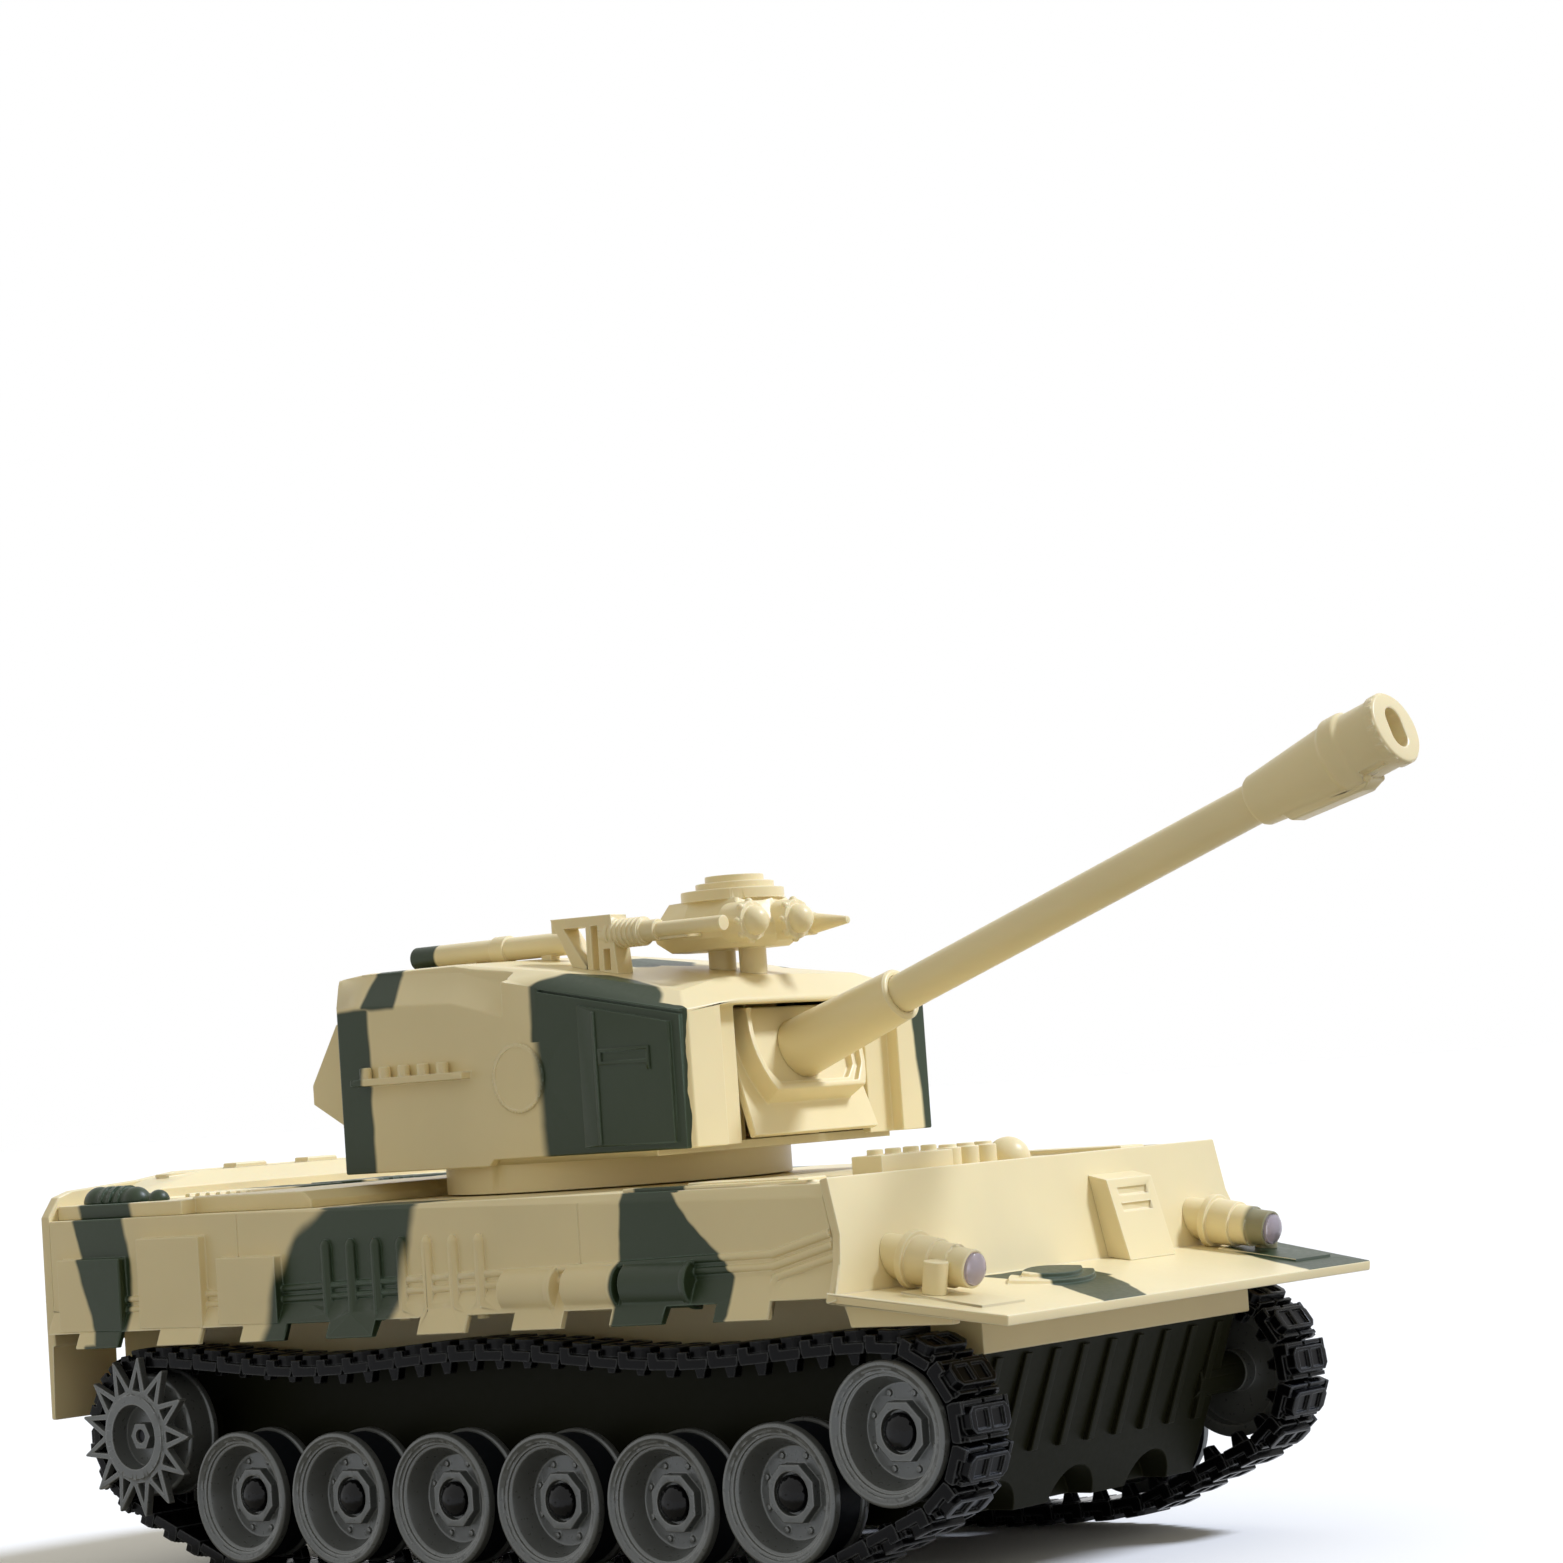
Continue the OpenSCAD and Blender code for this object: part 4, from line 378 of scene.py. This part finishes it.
def inside(tree, place, patch):
    """How much of the spray lies inside one patch, 0 to 1: its corners run anticlockwise in the patch's plane."""
    axes = ["xyz".index(letter) for letter in patch["plane"]]
    cover = None
    corners = patch["corners"]
    for start, end in zip(corners, corners[1:] + corners[:1]):
        edge = Vector(end) - Vector(start)
        inward = Vector((-edge.y, edge.x)).normalized()
        normal = [0.0, 0.0, 0.0]
        for axis, part in zip(axes, inward):
            normal[axis] = part
        depth = wire(tree, "ShaderNodeVectorMath", {0: place, 1: normal}, operation="DOT_PRODUCT").outputs["Value"]
        offset = inward.dot(Vector(start)) * MM
        soft = patch["soft"] * MM
        share = wire(tree, "ShaderNodeMapRange", {"Value": depth, "From Min": offset - soft,
                                                  "From Max": offset + soft},
                     interpolation_type="SMOOTHSTEP").outputs[0]
        cover = share if cover is None else reckon(tree, "MULTIPLY", cover, share)
    for axis, low, high in patch.get("within", []):
        value = wire(tree, "ShaderNodeSeparateXYZ", {0: place}).outputs[axis]
        cover = reckon(tree, "MULTIPLY", cover, reckon(tree, "GREATER_THAN", value, low * MM))
        cover = reckon(tree, "MULTIPLY", cover, reckon(tree, "LESS_THAN", value, high * MM))
    if patch.get("looks_up"):
        facing = wire(tree, "ShaderNodeTexCoord").outputs["Normal"]
        upward = wire(tree, "ShaderNodeSeparateXYZ", {0: facing}).outputs["Z"]
        cover = reckon(tree, "MULTIPLY", cover, reckon(tree, "GREATER_THAN", upward, upward_slope))
    return reckon(tree, "MULTIPLY", cover, patch.get("strength", 1.0))


def sprayed(tree, place, patches):
    """How much spray lies at a place: the strongest of the patches, whose edges wander a little.

    A patch lies on both sides of the tank, folded onto its right, unless it is for one side.
    """
    wander = wire(tree, "ShaderNodeTexNoise", {"Vector": place, "Scale": wander_scale, "Detail": 2.0}).outputs["Color"]
    level = wire(tree, "ShaderNodeVectorMath", {0: wander, 1: (0.5, 0.5, 0.5)}, operation="SUBTRACT").outputs[0]
    drift = wire(tree, "ShaderNodeVectorMath", {0: level, "Scale": wander_reach}, operation="SCALE").outputs[0]
    moved = wire(tree, "ShaderNodeVectorMath", {0: place, 1: drift}, operation="ADD").outputs[0]
    parts = wire(tree, "ShaderNodeSeparateXYZ", {0: moved}).outputs
    folded_y = reckon(tree, "MULTIPLY", reckon(tree, "ABSOLUTE", parts["Y"]), -1.0)
    folded = wire(tree, "ShaderNodeCombineXYZ", {0: parts["X"], 1: folded_y, 2: parts["Z"]}).outputs[0]
    paint = None
    for patch in patches:
        cover = inside(tree, moved if patch.get("one_side") else folded, patch)
        paint = cover if paint is None else reckon(tree, "MAXIMUM", paint, cover)
    return paint


def sand_plastic(name, patches=None):
    """The sand-coloured plastic of hull and turret, with the green spray of some patches."""
    return moulded_plastic(name, sand, 0.36, wear_and_highlight_colour=sand_wear_and_highlight, glow=0.12, gloss=0.35,
                           spray=patches, spray_colour=spray_green, spray_wear_and_highlight=green_wear_and_highlight)


skirt_bands = [
    {"plane": "xz", "soft": 0.8, "within": [("Y", -90, -50)],
     "corners": [(-147, 50), (-138, 50), (-138.6, 75), (-143.5, 98), (-161.5, 98), (-157.6, 80), (-149.5, 57)]},
    {"plane": "xz", "soft": 0.5, "within": [("Y", -90, -50)],
     "corners": [(-153.5, 44), (-138, 44), (-138, 55.5), (-152, 55.5)]},
    {"plane": "xz", "soft": 1.6, "within": [("Y", -90, -52)],
     "corners": [(-92, 50), (-53, 50), (-43.5, 88), (-60, 90), (-73.4, 84.6), (-82.6, 78.6), (-88.6, 69.2)]},
    {"plane": "xz", "soft": 0.5, "within": [("Y", -90, -58), ("Z", 40, 84.4)],
     "corners": [(14.5, 50), (40.5, 50), (46.8, 59), (46.6, 67.4), (30.6, 83.6), (24.3, 90), (16.5, 90)]},
    {"plane": "xy", "soft": 0.5, "within": [("Z", 84.2, 92)],
     "corners": [(17, -76), (31, -76), (32, -62), (18, -62)]},
]
front_patches = [
    {"plane": "xy", "soft": 0.5, "one_side": True, "within": [("Z", 59, 70), ("X", 78, 130)],
     "corners": [(77, -29), (99, -25.5), (93, -3), (77, 0)]},
    {"plane": "xy", "soft": 0.4, "one_side": True, "looks_up": True, "within": [("Z", 40, 70)],
     "corners": [(88, -20), (96, -26), (114, -35.5), (114, -21), (104, -12.5), (92, -4)]},
    {"plane": "xy", "soft": 0.8, "one_side": True, "looks_up": True, "within": [("Z", 40, 70), ("X", 78, 130)],
     "corners": [(84, 52), (101, 45), (114, 41), (114, 78), (80, 78)]},
]
deck_patches = [
    {"plane": "xy", "soft": 1.2, "within": [("Z", 84.2, 100)],
     "corners": [(-72, -72), (-43, -72), (-47, -61), (-78, -61)]},
    {"plane": "xy", "soft": 1.2, "within": [("Z", 86.5, 100)],
     "corners": [(-150, -24), (-128, -30), (-116, -8), (-138, 2)]},
]
hull_sand = sand_plastic("hull_sand", skirt_bands + front_patches + deck_patches)
for node in ("upper_hull", "side_skirt_left", "side_skirt_right", "glacis_plate", "rear_plate", "engine_deck"):
    rounded(node, "tan_plastic", hull_sand, radius=plate_radius)

# Deck fittings. The driver's visor and the vent block are of the same sand plastic, and the exhaust domes at the
# rear are sprayed green all over. They are mouldings of their own, set on the deck.
plain_sand = sand_plastic("plain_sand")
# The green is paler along edges: partly wear, partly a painted highlight.
plain_green = moulded_plastic("plain_green", spray_green, 0.42, wear_and_highlight_colour=green_wear_and_highlight, gloss=0.4)
for node in ("driver_visor", "deck_vent_block"):
    rounded(node, "tan_plastic", plain_sand)
rounded("exhaust_domes", "green_paint", plain_green)

# Headlights. Sand-coloured housings with a milky clear lens over an amber lamp; spray from the mask has caught the
# left one's bezel.
lens_tint = srgb(236, 226, 238)
lens_clearness = 0.65
lens_ior = 1.49
haze_scale = 700.0
haze_roughness = 0.12
lens_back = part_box("headlight_lenses")[0].x / MM
bezel_spray = [{"plane": "xz", "soft": 0.8, "one_side": True, "strength": 0.7, "within": [("Y", 0, 90)],
                "corners": [(lens_back - 2, 40), (lens_back + 20, 40), (lens_back + 20, 90), (lens_back - 2, 90)]}]
lamp_sand = sand_plastic("lamp_sand", bezel_spray)
rounded("headlight_housings", "tan_plastic", lamp_sand)
clear = bpy.data.materials.new("clear_lens")
clear.use_nodes = True
clear_shader = clear.node_tree.nodes["Principled BSDF"]
clear_shader.inputs["Base Color"].default_value = lens_tint
clear_shader.inputs["Transmission Weight"].default_value = lens_clearness
clear_shader.inputs["IOR"].default_value = lens_ior
clear_place = wire(clear.node_tree, "ShaderNodeTexCoord").outputs["Object"]
haze = reckon(clear.node_tree, "MULTIPLY", noise(clear.node_tree, clear_place, haze_scale), haze_roughness)
clear.node_tree.links.new(haze, clear_shader.inputs["Roughness"])
lamp_resin = moulded_plastic("lamp_resin", srgb(232, 150, 84), 0.2, grain=0.02)


def dress(node, material):
    """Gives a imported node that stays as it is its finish."""
    frame["nodes"][node].data.materials.clear()
    frame["nodes"][node].data.materials.append(material)


dress("headlight_lenses", clear)
dress("headlight_leds", lamp_resin)

# Turret. A sand-coloured shell over a floor with the collar that turns in the deck, with a bin at the rear and
# tubes along the roof. Its green pattern is sprayed through masks of its own.
fine_radius = 0.15 * MM
turret_patches = [
    {"plane": "xz", "soft": 0.6, "within": [("Y", -60, -38)],
     "corners": [(-97, 80), (-81.7, 80), (-81.7, 128.6), (-97, 128.6)]},
    {"plane": "xz", "soft": 0.6, "within": [("Y", -60, -28)],
     "corners": [(-84, 128.4), (-73.5, 128.4), (-74.5, 140), (-82.5, 140)]},
    {"plane": "xz", "soft": 1.6, "within": [("Y", -60, -41.6)],
     "corners": [(-28, 80), (22, 80), (22, 140), (-30, 140)]},
    {"plane": "xy", "soft": 0.7, "within": [("Z", 118, 134)],
     "corners": [(-31, -45), (10, -45), (4, -37.5), (-9, -31.5), (-17, -30.5), (-30, -41)]},
    {"plane": "xy", "soft": 0.9, "one_side": True, "within": [("Z", 130, 137)],
     "corners": [(-32, -14), (-19, -13), (-14, -5), (-22, 4), (-34, 0)]},
    {"plane": "yz", "soft": 0.7, "one_side": True, "within": [("X", 12, 16)],
     "corners": [(39.3, 80), (46, 80), (46, 130), (36.5, 130), (36.4, 115)]},
]
turret_sand = sand_plastic("turret_sand", turret_patches)
tube_patch = [{"plane": "xz", "soft": 0.4, "corners": [(-100, 130), (-82.5, 130), (-82.5, 150), (-100, 150)]}]
tube_sand = sand_plastic("tube_sand", tube_patch)
rounded("turret_shell", "tan_plastic", turret_sand, radius=plate_radius)
rounded("turret_base", "tan_plastic", plain_sand)
rounded("turret_bin", "tan_plastic", plain_sand)
rounded("roof_tubes", "tan_plastic", tube_sand, radius=fine_radius)

# Roof weapon. A pod of sand plastic stands on two posts, with a slim gun and its cage beside it. Both are small
# fixed mouldings with finer edges than the shell's.
for node in ("weapon_pod", "pod_gun"):
    rounded(node, "tan_plastic", plain_sand, radius=fine_radius)

# Gun. Mantlet, sleeve, barrel and muzzle brake are separate sand-coloured mouldings, pushed into each other.
# The mantlet turns on the trunnion pin and carries the others.
for node in ("mantlet", "gun_sleeve", "gun_barrel", "muzzle_brake"):
    rounded(node, "tan_plastic", plain_sand, radius=plate_radius)

# Inner pieces. Steel shafts, pins and screws, gearboxes and motors, cells, board, switch and turret drive.
# The screws' heads and the switch's knob show under the tub; the rest lies inside the closed hull or turret.
steel = moulded_plastic("steel", srgb(170, 171, 174), 0.3, grain=0.04, metal=1.0)
dark_steel = moulded_plastic("dark_steel", srgb(44, 44, 46), 0.4, grain=0.04, metal=1.0)
gear_plastic = moulded_plastic("gear_plastic", srgb(66, 66, 70), 0.5)
cell_wrap = moulded_plastic("cell_wrap", srgb(36, 58, 112), 0.35, grain=0.03)
board_green = moulded_plastic("board_laminate", srgb(30, 92, 52), 0.4, grain=0.03)
switch_red = moulded_plastic("switch_red", srgb(196, 36, 28), 0.4)
inner_finishes = {
    "drive_shaft_left": dark_steel, "drive_shaft_right": dark_steel, "trunnion_pin": steel, "hull_screws": steel,
    "drive_motors": steel, "gearbox_left": gear_plastic, "gearbox_right": gear_plastic,
    "turret_gearbox": gear_plastic, "turret_retainer": gear_plastic, "battery_pack": cell_wrap,
    "control_board": board_green, "switch_housing": pin_black, "switch_slider": switch_red,
}
for node, material in inner_finishes.items():
    dress(node, material)
